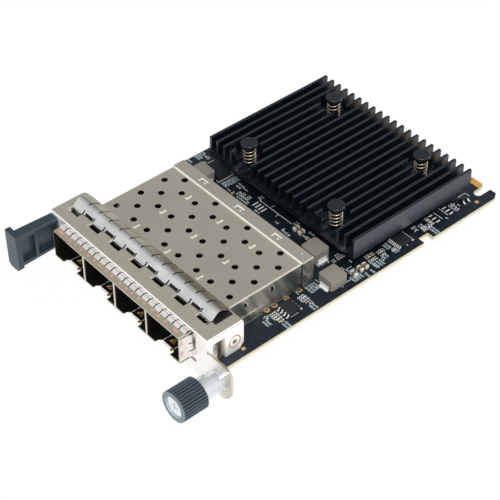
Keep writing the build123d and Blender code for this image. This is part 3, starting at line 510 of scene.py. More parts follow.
class Finishes:
    """The card's finishes, each named for its real material or for the light and shade painted on it."""

    # What all pieces of the rolled sheet share: a fine grain along the card and almost no relief
    rolled = {
        "drift": 0.02, "grain_mm": 0.5, "stretch": (1, 12, 1), "blotch_mm": 16.0, "bump_mm": 0.0001,
        "grain_share": 0.08,
    }
    # Black liquid solder mask, cured smooth: almost black with a blue cast and a soft even gloss. The
    # tongue's end has none and is gold brown
    mask = BoardFinish("black_solder_mask", "0a0f15", "0e141b", roughness=0.36, grain_mm=0.5,
                       bump_mm=0.006, gloss=0.6, sheen="c8dcf4",
                       layers=(Layer("b98a45", (-33.0, 0.1, -FAR), (33.0, FAR, FAR)),))
    # Tin plated steel sheet, rolled satin: warm grey, hazy reflections, dark in the small strip's shade
    cage = SheetFinish("satin_tinned_steel", "d6d1c3", "cdc7b9", metallic=0.86, roughness=0.27,
                       layers=(Layer("47423c", (-FAR, -113.6, 9.6), (FAR, -110.9, FAR)),), **rolled)
    # The same sheet on the floor and dividers: bright at the mouths, with painted shade inside the ports
    lining = Finish("tinned_steel_painted_shade_inside", "e7e1d3", "ddd7ca", metallic=0.86, roughness=0.3,
                    layers=(Layer("3b3733", (-28.8, -115.4, 0.05), (28.8, FAR, 9.6)),), **rolled)
    # Zinc plated steel sheet of the faceplate: near white on its upright faces, with painted shade that
    # darkens its tops, greys it towards the ear and darkens it under the large strip; dark in the joint
    # above each side flange
    plate = Finish("zinc_plated_steel", "fffdf8", "f8f5ee", metallic=0.45, roughness=0.3, drift=0.02,
                   grain_mm=0.5, stretch=(12, 1, 1), blotch_mm=14.0, bump_mm=0.0001, grain_share=0.08,
                   layers=(
                       # Painted shade: darker on the tops
                       Fade("a9a79e", blend=Blend.TINT, axis="Z", span=(0.8, 0.801), by_normal=True),
                       # Painted shade: greyer towards the ear
                       Fade("c4c1b9", blend=Blend.TINT, axis="X", span=(36.5, 44.5)),
                       # Painted shade under the large strip, seen through its slits
                       Layer("2b2825", (-31.9, -105.5, 9.9), (31.9, -99.2, FAR)),
                       Layer("3a352e", (-FAR, -109.4, 9.72), (-34.0, FAR, 9.9)),
                       Layer("3a352e", (34.0, -109.4, 9.72), (FAR, FAR, 9.9)),
                   ))
    # Painted highlight on bent tabs, marks and edges of sheet: bright cream lines where they catch the light
    painted_highlight = Finish("painted_highlight_sheet_edge", "fffcf6", "f6f1e8", metallic=0.35, roughness=0.3, drift=0.05,
                       grain_mm=0.3, bump_mm=0.0005)
    # Beryllium copper strip, bright tin plated: mirror-like, painted brown grey reflection on its rear slopes
    strip = Finish("bright_tinned_spring_strip", "eeefef", "d8dada", metallic=0.95, roughness=0.17,
                   drift=0.03, grain_mm=0.5, stretch=(1, 8, 1), blotch_mm=7.0, bump_mm=0.0002,
                   grain_share=0.1,
                   layers=(Fade("c2bba9", blend=Blend.TINT, axis="Y", span=(0.0, 0.3), by_normal=True),))
    # The same alloy in thinner strip round the snout, dip tinned: paler, tan grey where it is welded on
    band = Finish("dip_tinned_thin_strip", "fbf9f5", "e6e3de", metallic=0.75, roughness=0.22, drift=0.04,
                  grain_mm=0.5, stretch=(1, 4, 1), bump_mm=0.0002,
                  layers=(Layer("d0c8b8", (-FAR, -115.6, 9.5), (FAR, -113.6, FAR), Blend.TINT),))
    # Nickel plated turned steel: chrome bright
    nickel = Finish("bright_nickel_plated_steel", "f2f4f6", "e2e6ea", metallic=0.92, roughness=0.12,
                    drift=0.04, grain_mm=0.3, stretch=(1, 1, 6), bump_mm=0.0002)
    # Chrome on the turned sleeve: white with long grey streaks of painted reflection
    chrome = Finish("turned_bright_chrome", "ffffff", "c2cad0", metallic=0.75, roughness=0.12, drift=0.04,
                    grain_mm=1.6, stretch=(1, 40, 1), blotch_mm=6.0, bump_mm=0.0001, grain_share=0.6)
    # Leaf springs in the side flanges, polished: stripes of painted reflection of the dark board beside them
    leaf = Finish("polished_leaf_spring", "e4dfd6", "40392f", metallic=0.85, roughness=0.16, drift=0.04,
                  grain_mm=1.3, stretch=(1, 1, 30), blotch_mm=6.0, bump_mm=0.0002, grain_share=1.0)
    # Painted shade for the grooves of the rivets' heads: dull brown rings laid on them
    rivet_groove_shade = Finish("painted_rivet_groove_shade", "a8794d", "7d5836", metallic=0.2, roughness=0.5, drift=0.08,
                   grain_mm=0.2, bump_mm=0.002)
    # Music wire, bright drawn: warm white with dark turns between
    wire = Finish("bright_drawn_spring_wire", "cbbfa9", "b0a48e", metallic=1.0, roughness=0.28,
                  grain_mm=0.15, bump_mm=0.0004)
    # Black anodised aluminium, extruded: dull black with a grey sheen on the edges
    anodised = Finish("black_anodised_aluminium", "060a11", "0c1119", roughness=0.26, drift=0.04,
                      grain_mm=0.3, stretch=(1, 8, 1), bump_mm=0.0004, gloss=1.0, sheen="d4def2")
    # Moulded black nylon of the push pins
    nylon = Finish("moulded_black_nylon", "070a0e", "0d1116", roughness=0.26, grain_mm=0.3, bump_mm=0.002,
                   gloss=0.8, sheen="d0e0f0")
    # Moulded dark grey plastic of the pull tab, fine spark texture
    tab = Finish("moulded_dark_grey_plastic", "222b33", "2b353e", roughness=0.38, grain_mm=0.25,
                 bump_mm=0.003, gloss=0.8, sheen="d4e4f4")
    # Moulded black plastic of the knob, the same spark texture, paler on the front face
    knob = KnobFinish("moulded_black_knob_plastic", "424c55", "4f5a63", roughness=0.36, grain_mm=0.25,
                      bump_mm=0.003, gloss=0.8, sheen="d4e4f4",
                      layers=(Layer("66737b", high=(FAR, -127.0, FAR)),))
    # Pressed iron powder of the inductors: matt grey brown with a fine speckle
    powder = Finish("pressed_iron_powder", "716d65", "858178", roughness=0.55, drift=0.08, grain_mm=0.22,
                    bump_mm=0.006, grain_share=0.7)
    # Moulded epoxy of the chips: dull black with a fine grit
    epoxy = Finish("moulded_black_epoxy", "0f1418", "181d21", roughness=0.5, grain_mm=0.2, bump_mm=0.008,
                   grain_share=0.6)
    # Tin on leads, pads and end caps: bright and slightly lumpy
    tin = Finish("reflowed_tin", "f8f8f4", "dcdcd8", metallic=0.35, roughness=0.3, drift=0.08, bump_mm=0.01)
    # Gold over nickel on contacts and pads
    gold = Finish("immersion_gold", "e0b877", "c99a5c", metallic=1.0, roughness=0.24, grain_mm=0.3,
                  bump_mm=0.002)
    # Copper coloured rings and dots, gold over copper, duller than the contacts
    ring = Finish("gold_plated_hole_ring", "dcb98a", "bd9664", metallic=0.5, roughness=0.42, grain_mm=0.3,
                  bump_mm=0.002)
    # Screen printed epoxy ink: pale blue grey, matt
    ink = Finish("pale_printed_ink", "c4dbe0", "d4e6ea", roughness=0.6, drift=0.05, grain_mm=0.15,
                 bump_mm=0.002)
    # Fired ceramic of the capacitors: tan, faintly mottled
    ceramic = Finish("tan_fired_ceramic", "8a7355", "6f5b43", roughness=0.45, grain_mm=0.3)
    # Plain brass leaf under the latches
    brass = Finish("plain_brass_leaf", "e6cf95", "c2a365", metallic=0.8, roughness=0.28, stretch=(1, 5, 1),
                   bump_mm=0.001)
    # Soft grey silicone pad on the main chip
    silicone = Finish("grey_silicone_pad", "8b9096", "7b8087", roughness=0.7, drift=0.05, grain_mm=0.3,
                      bump_mm=0.01)
    # Weld spots of the small strips: heat has turned them salmon
    weld = Finish("heat_tinted_weld_spot", "f3ab8d", "e4987a", metallic=0.4, roughness=0.35, drift=0.05,
                  grain_mm=0.15)
    # Moulded black connectors, glass filled
    connector = Finish("glass_filled_black_plastic", "101113", "191b1d", roughness=0.45, grain_mm=0.3,
                       bump_mm=0.006)


# Modelling steps


def deselect_all() -> None:
    """Leave edit mode and deselect every object."""
    if bpy.context.object and bpy.context.object.mode != "OBJECT":
        bpy.ops.object.mode_set(mode="OBJECT")
    bpy.ops.object.select_all(action="DESELECT")


def activate(piece: Piece) -> None:
    """Select one object alone and make it active.

    Args:
        piece: The object.
    """
    deselect_all()
    piece.select_set(True)
    bpy.context.view_layer.objects.active = piece


@contextmanager
def editing(piece: Piece) -> Iterator[None]:
    """Hold a piece in edit mode for a while.

    Args:
        piece: The object.
    """
    activate(piece)
    bpy.ops.object.mode_set(mode="EDIT")
    yield
    bpy.ops.object.mode_set(mode="OBJECT")


def pick(vertices: bool = False, edges: bool = False, faces: bool = False) -> None:
    """Choose what edit mode selects."""
    bpy.context.tool_settings.mesh_select_mode = (vertices, edges, faces)


def blank(name: str) -> Piece:
    """Return a new mesh object at the origin with nothing in it yet.

    Args:
        name: Name of the object and of its mesh.

    Returns:
        The object.
    """
    deselect_all()
    bpy.ops.mesh.primitive_cube_add(size=1, location=(0, 0, 0))
    piece = bpy.context.object
    piece.name = piece.data.name = name
    with editing(piece):
        bpy.ops.mesh.select_all(action="SELECT")
        bpy.ops.mesh.delete(type="VERT")
    return piece


def add_block(centre: Point, size: Point, turn: float = 0.0) -> None:
    """Add a box to the mesh in edit mode.

    Args:
        centre: Middle of the box.
        size: Its full sizes before it is turned.
        turn: Degrees about Z.
    """
    bpy.ops.mesh.primitive_cube_add(
        size=1, location=to_metres(centre), scale=to_metres(size), rotation=(0, 0, math.radians(turn))
    )


def turn_to(along: Point) -> tuple[float, float, float]:
    """Return the rotation that turns the Z axis to a direction."""
    return tuple(Vector((0, 0, 1)).rotation_difference(Vector(along)).to_euler())


def add_rod(centre: Point, radius: float, depth: float, sides: int = 32, end_radius: float | None = None,
            along: Point = (0, 0, 1)) -> None:
    """Add a cylinder or a cone to the mesh in edit mode.

    Args:
        centre: Middle of the rod.
        radius: Radius at its start.
        depth: Length.
        sides: Number of sides.
        end_radius: Radius at its end, where it differs.
        along: Direction of its axis.
    """
    bpy.ops.mesh.primitive_cone_add(
        vertices=sides, radius1=radius * MM, radius2=(radius if end_radius is None else end_radius) * MM,
        depth=depth * MM, location=to_metres(centre), rotation=turn_to(along),
    )


def add_ring(centre: Point, outer: float, inner: float, along: Point = (0, 0, 1),
             sides: int = 36) -> None:
    """Add a flat ring to the mesh in edit mode.

    Args:
        centre: Middle of the ring.
        outer: Outer radius.
        inner: Inner radius.
        along: Direction that the ring faces.
        sides: Number of sides.
    """
    bpy.ops.mesh.select_all(action="DESELECT")
    bpy.ops.mesh.primitive_circle_add(
        vertices=sides, radius=outer * MM, location=to_metres(centre), rotation=turn_to(along),
        fill_type="NGON",
    )
    bpy.ops.mesh.inset(thickness=(outer - inner) * MM)
    bpy.ops.mesh.delete(type="FACE")


def turned(name: str, profile: Sequence[Pair], x: float, z: float, sides: int = 64) -> Piece:
    """Return a solid turned about a line along Y.

    Args:
        name: Name of the piece.
        profile: Y and radius at each corner, from the front.
        x: Place of the axis across the card.
        z: Height of the axis.
        sides: Number of sides.

    Returns:
        The piece.
    """
    piece = blank(name)
    with editing(piece):
        start, radius = profile[0]
        bpy.ops.mesh.primitive_circle_add(
            vertices=sides, radius=radius * MM, location=to_metres((x, start, z)),
            rotation=(math.pi / 2, 0, 0), fill_type="NGON",
        )
        for (here, before), (there, after) in zip(profile, profile[1:]):
            step = to_metres((0, there - here, 0))
            bpy.ops.mesh.extrude_region_move(TRANSFORM_OT_translate={"value": step})
            scale = after / before
            bpy.ops.transform.resize(value=(scale,) * 3, center_override=to_metres((x, there, z)))
    tidy_normals(piece)
    return piece


def blocks(name: str, boxes: Sequence[Box]) -> Piece:
    """Return one mesh of separate boxes.

    Args:
        name: Name of the piece.
        boxes: Centre, full size and turn of each box.

    Returns:
        The piece.
    """
    piece = blank(name)
    with editing(piece):
        for centre, size, turn in boxes:
            add_block(centre, size, turn)
    return piece


def modify(piece: Piece, kind: str, **settings: object) -> None:
    """Add a modifier and apply it.

    Args:
        piece: Object that is changed.
        kind: Blender's type of the modifier.
        **settings: Its properties.
    """
    activate(piece)
    modifier = piece.modifiers.new(kind.lower(), kind)
    for name, value in settings.items():
        setattr(modifier, name, value)
    bpy.ops.object.modifier_apply(modifier=modifier.name)


def round_edges(piece: Piece, width: float, segments: int = 2, angle: float = 30.0) -> None:
    """Round a piece's sharp edges and shade it smooth.

    Args:
        piece: Object that is changed.
        width: Width of the rounding in millimetres.
        segments: Facets across it.
        angle: Edges sharper than this many degrees are rounded.
    """
    modify(piece, "BEVEL", width=width * MM, segments=segments, limit_method="ANGLE",
           angle_limit=math.radians(angle), use_clamp_overlap=True)
    smooth(piece, angle)


def smooth(piece: Piece, angle: float = 30.0) -> None:
    """Shade a piece smooth, with its large faces kept flat.

    Args:
        piece: Object that is changed.
        angle: Edges sharper than this many degrees stay sharp.
    """
    activate(piece)
    bpy.ops.object.shade_smooth_by_angle(angle=math.radians(angle))
    modify(piece, "WEIGHTED_NORMAL", mode="FACE_AREA", keep_sharp=True, weight=90)


def carve(piece: Piece, cutter: Piece) -> None:
    """Cut one piece out of another and delete the cutter."""
    modify(piece, "BOOLEAN", operation="DIFFERENCE", solver="EXACT", object=cutter)
    bpy.data.objects.remove(cutter, do_unlink=True)


def join(piece: Piece, other: Piece) -> None:
    """Join another piece's mesh to a piece.

    Args:
        piece: Object that takes the mesh.
        other: Object that goes up in it.
    """
    activate(piece)
    other.select_set(True)
    bpy.ops.object.join()


def merge_doubles() -> None:
    """Merge the vertices that lie together in the mesh in edit mode, and leave it selected."""
    bpy.ops.mesh.select_all(action="SELECT")
    bpy.ops.mesh.remove_doubles(threshold=MERGE_MM * MM)


def tidy_normals(piece: Piece) -> None:
    """Merge doubles and point every face outwards.

    Args:
        piece: Object that is changed.
    """
    with editing(piece):
        merge_doubles()
        bpy.ops.mesh.normals_make_consistent(inside=False)


def thicken(piece: Piece) -> None:
    """Give flat marks the thickness of plating."""
    modify(piece, "SOLIDIFY", thickness=PLATING_MM * MM, offset=0.0)
    tidy_normals(piece)


def folded_sheet(name: str, path: Sequence[Point], width: Point, thickness: float, outward: Point,
                 creases: Sequence[tuple[int, float]]) -> Piece:
    """Return a sheet that is extruded along a path, with rounded folds.

    Args:
        name: Name of the piece.
        path: Outer corners of the sheet's profile.
        width: From one end of the sheet to the other, across the path.
        thickness: Sheet thickness.
        outward: Direction that the outer face of the first run points in.
        creases: Index of a corner and the length that its rounding takes on each run.

    Returns:
        The piece.
    """
    deselect_all()
    bpy.ops.mesh.primitive_plane_add(size=1, location=(0, 0, 0))
    piece = bpy.context.object
    piece.name = piece.data.name = name
    start = to_metres(path[0])
    far = start + to_metres(width)
    with editing(piece):
        bpy.ops.mesh.select_all(action="DESELECT")
        bpy.ops.object.mode_set(mode="OBJECT")
        for vertex in piece.data.vertices:
            vertex.select = vertex.co.y > 0
        bpy.ops.object.mode_set(mode="EDIT")
        bpy.ops.mesh.delete(type="VERT")
        bpy.ops.object.mode_set(mode="OBJECT")
        for vertex in piece.data.vertices:
            vertex.co = start if vertex.co.x < 0 else far
        bpy.ops.object.mode_set(mode="EDIT")
        bpy.ops.mesh.select_all(action="SELECT")
        for here, there in zip(path, path[1:]):
            step = to_metres(there) - to_metres(here)
            bpy.ops.mesh.extrude_region_move(TRANSFORM_OT_translate={"value": step})
    if piece.data.polygons[0].normal.dot(Vector(outward)) < 0:
        piece.data.flip_normals()
    for index, length in creases:
        select_fold(piece, to_metres(path[index]), to_metres(width))
        with editing(piece):
            bpy.ops.mesh.bevel(offset=length * MM, segments=8, affect="EDGES", profile=0.5)
    modify(piece, "SOLIDIFY", thickness=thickness * MM, offset=-1.0, use_even_offset=True)
    return piece


def select_fold(piece: Piece, corner: Vector, width: Vector) -> None:
    """Select the edge that lies across a sheet at one corner of its profile.

    Args:
        piece: The sheet before it has a thickness.
        corner: Place of the corner, in metres.
        width: From one end of the sheet to the other, in metres.
    """
    activate(piece)
    pick(edges=True)
    with editing(piece):
        bpy.ops.mesh.select_all(action="DESELECT")
    near = [
        min((vertex.co - corner).length, (vertex.co - corner - width).length) < 0.01 * MM
        for vertex in piece.data.vertices
    ]
    for edge in piece.data.edges:
        edge.select = all(near[index] for index in edge.vertices)


def wound_coil(radius: float, wire_radius: float, rise: float, turns: float, steps: int = 28) -> Piece:
    """Return a coil of round wire about Z that starts at the origin's height.

    Args:
        radius: Mean radius.
        wire_radius: Radius of the wire.
        rise: Height from its first to its last centre.
        turns: Number of turns.
        steps: Facets in a turn.

    Returns:
        The coil.
    """
    piece = blank("coil")
    with editing(piece):
        bpy.ops.mesh.primitive_circle_add(
            vertices=10, radius=wire_radius * MM, location=(radius * MM, 0, 0), rotation=(math.pi / 2, 0, 0),
            fill_type="NOTHING",
        )
    count = round(steps * turns)
    modify(piece, "SCREW", angle=2 * math.pi * turns, screw_offset=rise * MM, steps=count,
           render_steps=count, use_merge_vertices=False)
    pick(vertices=True)
    with editing(piece):
        bpy.ops.mesh.select_all(action="DESELECT")
        bpy.ops.mesh.select_non_manifold(extend=False)
        bpy.ops.mesh.edge_face_add()
    tidy_normals(piece)
    return piece


def copy_of(node: str) -> Piece:
    """Return a merged copy of a CAD node, with its flat faces joined.

    Args:
        node: Name of the CAD node.

    Returns:
        A new object that may be shaped further.
    """
    piece = bpy.data.objects.new(f"{node}_finished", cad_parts[node].data.copy())
    piece.data.name = piece.name
    bpy.context.collection.objects.link(piece)
    piece.data.materials.clear()
    with editing(piece):
        merge_doubles()
        bpy.ops.mesh.dissolve_limited(angle_limit=math.radians(0.5))
    return piece


def dress(piece: Piece, finish: Finish, slot: str, *stands_for: str, body: str = CARD) -> None:
    """Give a new piece its finish and its body, and hide the CAD nodes that it stands for.

    Args:
        piece: The finished piece.
        finish: Its finish.
        slot: Not used.
        *stands_for: CAD nodes that it replaces.
        body: Body that it rides on.
    """
    piece.data.materials.clear()
    piece.data.materials.append(finish.material())
    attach(piece, body)
    if stands_for:
        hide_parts(*stands_for)
    log.info("piece %s: %d faces", piece.name, len(piece.data.polygons))


def dress_node(node: str, finish: Finish) -> None:
    """Give a CAD node that stays in view its finish.

    Args:
        node: Name of the CAD node.
        finish: Its finish.
    """
    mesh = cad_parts[node].data
    mesh.materials.clear()
    mesh.materials.append(finish.material())
    log.info("node %s: %s", node, finish.name)


def rounded_node(node: str, width: float, finish: Finish, slot: str, body: str = CARD,
                 segments: int = 2) -> None:
    """Replace a CAD node by a copy whose edges are rounded.

    Args:
        node: Name of the CAD node.
        width: Width of the rounding.
        finish: Finish of the copy.
        slot: Material slot of the record.
        body: Body that it rides on.
        segments: Facets across the rounding.
    """
    piece = copy_of(node)
    round_edges(piece, width, segments)
    dress(piece, finish, slot, node, body=body)


def dressed_blocks(name: str, boxes: Sequence[Box], width: float, finish: Finish, slot: str,
                   *stands_for: str) -> None:
    """Make and dress one piece of separate boxes with rounded edges.

    Args:
        name: Name of the piece.
        boxes: Centre, full size and turn of each box.
        width: Width of the rounding.
        finish: Finish of the piece.
        slot: Material slot of the record.
        *stands_for: CAD nodes that it replaces.
    """
    piece = blocks(name, boxes)
    round_edges(piece, width)
    dress(piece, finish, slot, *stands_for)


class Across(Enum):
    """Direction in which a small part lies on the board, in degrees."""

    ALONG_X = 0.0
    ALONG_Y = 90.0


# Sub-assemblies


@dataclass
class Board:
    """The bare board: laminate, gold contacts, rings, dots, pads and printed marks."""

    thickness: float = 1.57
    contact_pitch: float = 0.6
    contact_width: float = 0.4
    contact_y: Pair = (-1.4, 1.9)
    contact_groups: tuple[int, ...] = (14, 28, 42)
    group_gap: float = 2.4
    plating: float = 0.05
    print_height: float = 0.03
    ring_x: float = 28.6
    ring_radii: Pair = (1.0, 0.5)
    dot_radius: float = 0.66
    dots: tuple[Pair, ...] = ((35.6, -5.2), (35.7, -98.95))
    pad_size: Point = (0.5, 1.6, 0.04)
    pads: tuple[Pair, ...] = (
        (30.8, -20.5), (32.4, -20.5), (34.0, -20.5), (31.0, -14.8), (32.5, -14.8), (34.0, -14.8),
    )
    long_pad_size: Point = (0.5, 2.3, 0.04)
    long_pads: tuple[Pair, ...] = ((-7.9, -56.5), (-6.6, -56.5), (-5.3, -56.5), (-4.0, -56.5))
    array_pitch: float = 0.72
    array_body: Box = ((0.0, 0.0, 0.12), (0.5, 0.3, 0.26), 0.0)
    array_end: Box = ((0.4, 0.0, 0.1), (0.3, 0.34, 0.26), 0.0)
    # Place across and along the card, and number of parts, of each row of array parts
    arrays: tuple[tuple[float, float, int], ...] = (
        (31.5, -46.8, 5), (33.4, -47.0, 4), (32.3, -43.0, 4), (31.3, -84.0, 3), (32.9, -84.0, 3),
        (34.2, -84.0, 3), (31.4, -73.2, 3), (33.5, -73.2, 3), (33.4, -55.2, 4), (31.2, -22.6, 2),
        (32.4, -22.6, 2), (33.5, -22.6, 2), (-23.2, -54.0, 5), (-23.2, -57.3, 4), (26.4, -53.6, 4),
        (26.4, -56.2, 2), (30.4, -56.8, 2), (-34.2, -53.2, 2), (32.6, -26.0, 2), (34.0, -26.3, 2),
        (34.2, -39.4, 2), (-13.4, -56.8, 3), (-11.2, -56.4, 3), (-18.0, -58.4, 1),
    )
    # Place and size across and along the card of each printed line
    lines: tuple[tuple[float, float, float, float], ...] = (
        (-1.1, -54.4, 14.4, 0.16), (-15.0, -54.4, 2.4, 0.16), (-25.2, -54.4, 1.6, 0.16),
        (34.4, -34.5, 0.16, 4.0), (30.4, -6.4, 0.16, 3.3), (31.3, -4.8, 1.8, 0.16),
        (32.1, -18.7, 4.0, 0.16), (32.1, -16.2, 4.0, 0.16), (31.3, -54.9, 0.16, 2.2),
        (32.3, -54.9, 0.16, 2.2), (31.8, -56.0, 1.0, 0.16), (35.1, -61.6, 0.16, 7.9),
        (31.8, -65.5, 6.6, 0.16), (30.6, -85.2, 0.16, 4.2), (29.2, -73.2, 1.6, 0.16),
        (24.2, -58.7, 0.16, 5.2), (-3.5, -53.2, 0.16, 1.4), (0.5, -55.2, 0.16, 1.2),
        (35.2, -79.6, 0.16, 3.0), (-32.3, -53.8, 0.16, 2.6),
    )
    stroke_pitch: Pair = (0.52, 1.0)
    # Width and height of a stroke, and how much less tall an upright one is
    stroke: Point = (0.15, 0.75, 0.2)
    bar: Pair = (0.26, 0.15)
    bar_shift: Pair = (0.13, 0.28)
    # Place of each group of strokes, and its columns and rows
    blocks_of_print: tuple[tuple[float, float, int, int], ...] = (
        (32.6, -88.1, 5, 1), (32.6, -87.1, 5, 1), (31.2, -86.2, 2, 1), (31.9, -84.0, 6, 3),
        (36.7, -84.5, 5, 1), (36.7, -83.4, 5, 1), (31.8, -73.3, 5, 3), (36.2, -73.9, 5, 1),
        (36.2, -72.8, 5, 1), (30.5, -69.8, 6, 1), (30.5, -68.8, 6, 1), (30.5, -67.8, 6, 1),
        (30.5, -66.8, 6, 1), (35.5, -57.3, 5, 1), (35.5, -56.3, 5, 1), (35.5, -55.3, 5, 1),
        (35.5, -54.3, 5, 1), (36.8, -52.8, 4, 1), (36.8, -50.6, 4, 1), (34.6, -48.5, 8, 1),
        (35.6, -47.9, 5, 1), (35.6, -46.8, 5, 1), (35.6, -45.8, 5, 1), (34.4, -44.0, 4, 1),
        (34.4, -42.8, 4, 1), (31.8, -40.5, 5, 1), (31.8, -39.5, 5, 1), (35.0, -39.4, 3, 2),
        (35.4, -35.0, 1, 1), (31.2, -28.2, 2, 2), (32.7, -28.4, 1, 2), (32.4, -26.0, 4, 2),
        (34.2, -26.2, 2, 2), (35.2, -24.8, 10, 1), (35.2, -23.8, 10, 1), (32.4, -22.4, 6, 1),
        (34.7, -17.5, 2, 1), (32.7, -12.9, 7, 1), (32.7, -11.8, 7, 1), (33.0, -10.4, 2, 1),
        (35.7, -61.6, 1, 1), (-37.0, -52.6, 3, 1), (-37.0, -53.6, 3, 1), (-36.6, -54.6, 5, 1),
        (-36.6, -55.6, 5, 1), (-36.8, -58.4, 4, 1), (-33.2, -55.4, 3, 1), (-25.7, -53.0, 2, 1),
        (-25.7, -57.4, 3, 1), (-20.8, -52.9, 5, 1), (-20.8, -53.9, 5, 1), (-20.8, -54.9, 5, 1),
        (-20.8, -55.9, 5, 1), (-20.8, -56.9, 5, 1), (-20.8, -57.9, 5, 1), (-17.3, -54.0, 5, 1),
        (-17.3, -55.2, 4, 1), (-14.9, -57.0, 2, 2), (-12.3, -57.2, 6, 1), (-12.3, -58.4, 8, 1),
        (-8.9, -52.9, 3, 1), (-8.9, -53.8, 3, 1), (-4.9, -58.5, 4, 1), (7.0, -53.2, 3, 2),
        (8.2, -58.5, 7, 1), (13.3, -52.9, 5, 1), (13.3, -55.3, 5, 1), (25.0, -53.6, 2, 2),
        (25.4, -57.6, 2, 1), (25.0, -59.4, 2, 2), (29.4, -52.5, 3, 1), (24.8, -60.8, 2, 1),
    )

    def build(self) -> None:
        """Make and dress everything on the bare board."""
        dress_node("circuit_board", Finishes.mask)
        self.contacts()
        self.ring_marks()
        self.round_dots()
        self.square_pads()
        self.printed_marks()

    def contacts(self) -> None:
        """Divide the gold bands of the card edge into contacts."""
        start = -(sum(self.contact_groups) * self.contact_pitch + 2 * self.group_gap) / 2
        front, rear = self.contact_y
        size = (self.contact_width, rear - front, self.plating)
        boxes = []
        for count in self.contact_groups:
            for index in range(count):
                x = start + (index + 0.5) * self.contact_pitch
                for z in (self.plating / 2, -self.thickness - self.plating / 2):
                    boxes.append(((x, (front + rear) / 2, z), size, 0.0))
            start += count * self.contact_pitch + self.group_gap
        dress(blocks("edge_contact_row", boxes), Finishes.gold, "gold_contact", "edge_contacts")

    def ring_marks(self) -> None:
        """Lay a plated ring round each hole of the cage's pins."""
        piece = blank("hole_rings")
        with editing(piece):
            for x in (-self.ring_x, self.ring_x):
                for y in PIN_ROWS:
                    for z in (self.print_height, -self.thickness - self.print_height):
                        add_ring((x, y, z), *self.ring_radii)
        thicken(piece)
        dress(piece, Finishes.ring, "gold_contact")

    def round_dots(self) -> None:
        """Add the two round bare dots that a placement machine looks for."""
        piece = blank("placement_dots")
        with editing(piece):
            for x, y in self.dots:
                add_rod((x, y, self.print_height / 2), self.dot_radius, self.print_height)
        round_edges(piece, 0.01)
        dress(piece, Finishes.ring, "gold_contact")

    def square_pads(self) -> None:
        """Add the bare tinned pads and the rows of small array parts between their end caps."""
        middle = self.print_height / 2
        ends = [((x, y, middle), self.pad_size, 0.0) for x, y in self.pads]
        ends += [((x, y, middle), self.long_pad_size, 0.0) for x, y in self.long_pads]
        cores = []
        (_, _, core_z), core_size, _ = self.array_body
        (reach, _, end_z), end_size, _ = self.array_end
        for x, y, count in self.arrays:
            for index in range(count):
                place = y + (index - (count - 1) / 2) * self.array_pitch
                cores.append(((x, place, core_z), core_size, 0.0))
                for side in (-1, 1):
                    ends.append(((x + side * reach, place, end_z), end_size, 0.0))
        dressed_blocks("array_part_bodies", cores, 0.03, Finishes.ceramic, "ceramic_tan")
        dressed_blocks("bare_pads", ends, 0.015, Finishes.tin, "tin_terminal")

    def printed_marks(self) -> None:
        """Print thin lines and short strokes that spell nothing."""
        height = self.print_height
        boxes = [((x, y, height / 2), (long, wide, height), 0.0) for x, y, long, wide in self.lines]
        stroke, tall, less = self.stroke
        bar, thin = self.bar
        for index, (x, y, columns, rows) in enumerate(self.blocks_of_print):
            for step in range(columns * rows):
                column, row = step % columns, step // columns
                across = x + self.stroke_pitch[0] * (column - (columns - 1) / 2)
                along = y + self.stroke_pitch[1] * (row - (rows - 1) / 2)
                lean = (step + index) % 3 - 1
                beside = (across + self.bar_shift[0], along + self.bar_shift[1] * lean, height / 2)
                boxes.append(((across, along, height / 2), (stroke, tall - less * (lean == 0), height), 0.0))
                boxes.append((beside, (bar, thin, height), 0.0))
        piece = blocks("printed_marks", boxes)
        round_edges(piece, 0.01, 1)
        dress(piece, Finishes.ink, "solder_mask")


@dataclass
class HeatSink:
    """The finned heat sink with its sprung push pins."""

    pins: tuple[Pair, ...] = ((-18.1, -50.0), (20.15, -50.0), (-18.1, -14.75), (20.15, -14.75))
    base_top: float = 6.5
    head_bottom: float = 12.9
    head_top: float = 14.3
    head_radius: float = 2.65
    head_rounding: float = 0.32
    shank_radius: float = 1.32
    barb_radii: Pair = (1.0, 2.0)
    slot: Pair = (0.7, 5.0)
    slot_stop: float = 0.01
    spring_radius: float = 2.15
    wire: float = 0.4
    turns: float = 4.6
    play: float = 0.05
    board_bottom: float = -1.57
    tip: float = -3.6

    def build(self) -> None:
        """Make and dress the heat sink and what holds it."""
        rounded_node("heat_sink", 0.1, Finishes.anodised, "black_anodised")
        dress_node("controller_chip", Finishes.epoxy)
        dress_node("thermal_pad", Finishes.silicone)
        self.push_pins()
        self.springs()

    def push_pins(self) -> None:
        """Turn the four pins: a rounded head, a shank and a split barb."""
        piece = blank("push_pins_finished")
        head = self.head_top - self.head_bottom
        shank = self.head_bottom - self.board_bottom
        barb = self.board_bottom - self.tip
        tip_radius, barb_radius = self.barb_radii
        with editing(piece):
            for x, y in self.pins:
                add_rod((x, y, self.head_bottom + head / 2), self.head_radius, head, 48)
                add_rod((x, y, self.head_bottom - shank / 2), self.shank_radius, shank, 24)
                add_rod((x, y, self.tip + barb / 2), tip_radius, barb, 24, barb_radius)
        slot = (*self.slot, 2 * (barb - self.slot_stop))
        cutter = blocks("barb_slots", [((x, y, self.tip), slot, 0.0) for x, y in self.pins])
        round_edges(piece, self.head_rounding, 3)
        carve(piece, cutter)
        smooth(piece, 35)
        dress(piece, Finishes.nylon, "pin_black", "push_pins")

    def springs(self) -> None:
        """Wind the round wire springs under the heads."""
        piece = blank("push_pin_coils")
        low = self.base_top + self.wire / 2 + self.play
        rise = self.head_bottom - self.base_top - self.wire - 2 * self.play
        for x, y in self.pins:
            coil = wound_coil(self.spring_radius - self.wire / 2, self.wire / 2, rise, self.turns)
            coil.data.transform(Matrix.Translation(to_metres((x, y, low))))
            join(piece, coil)
        smooth(piece, 60)
        dress(piece, Finishes.wire, "spring_steel", "push_pin_springs")


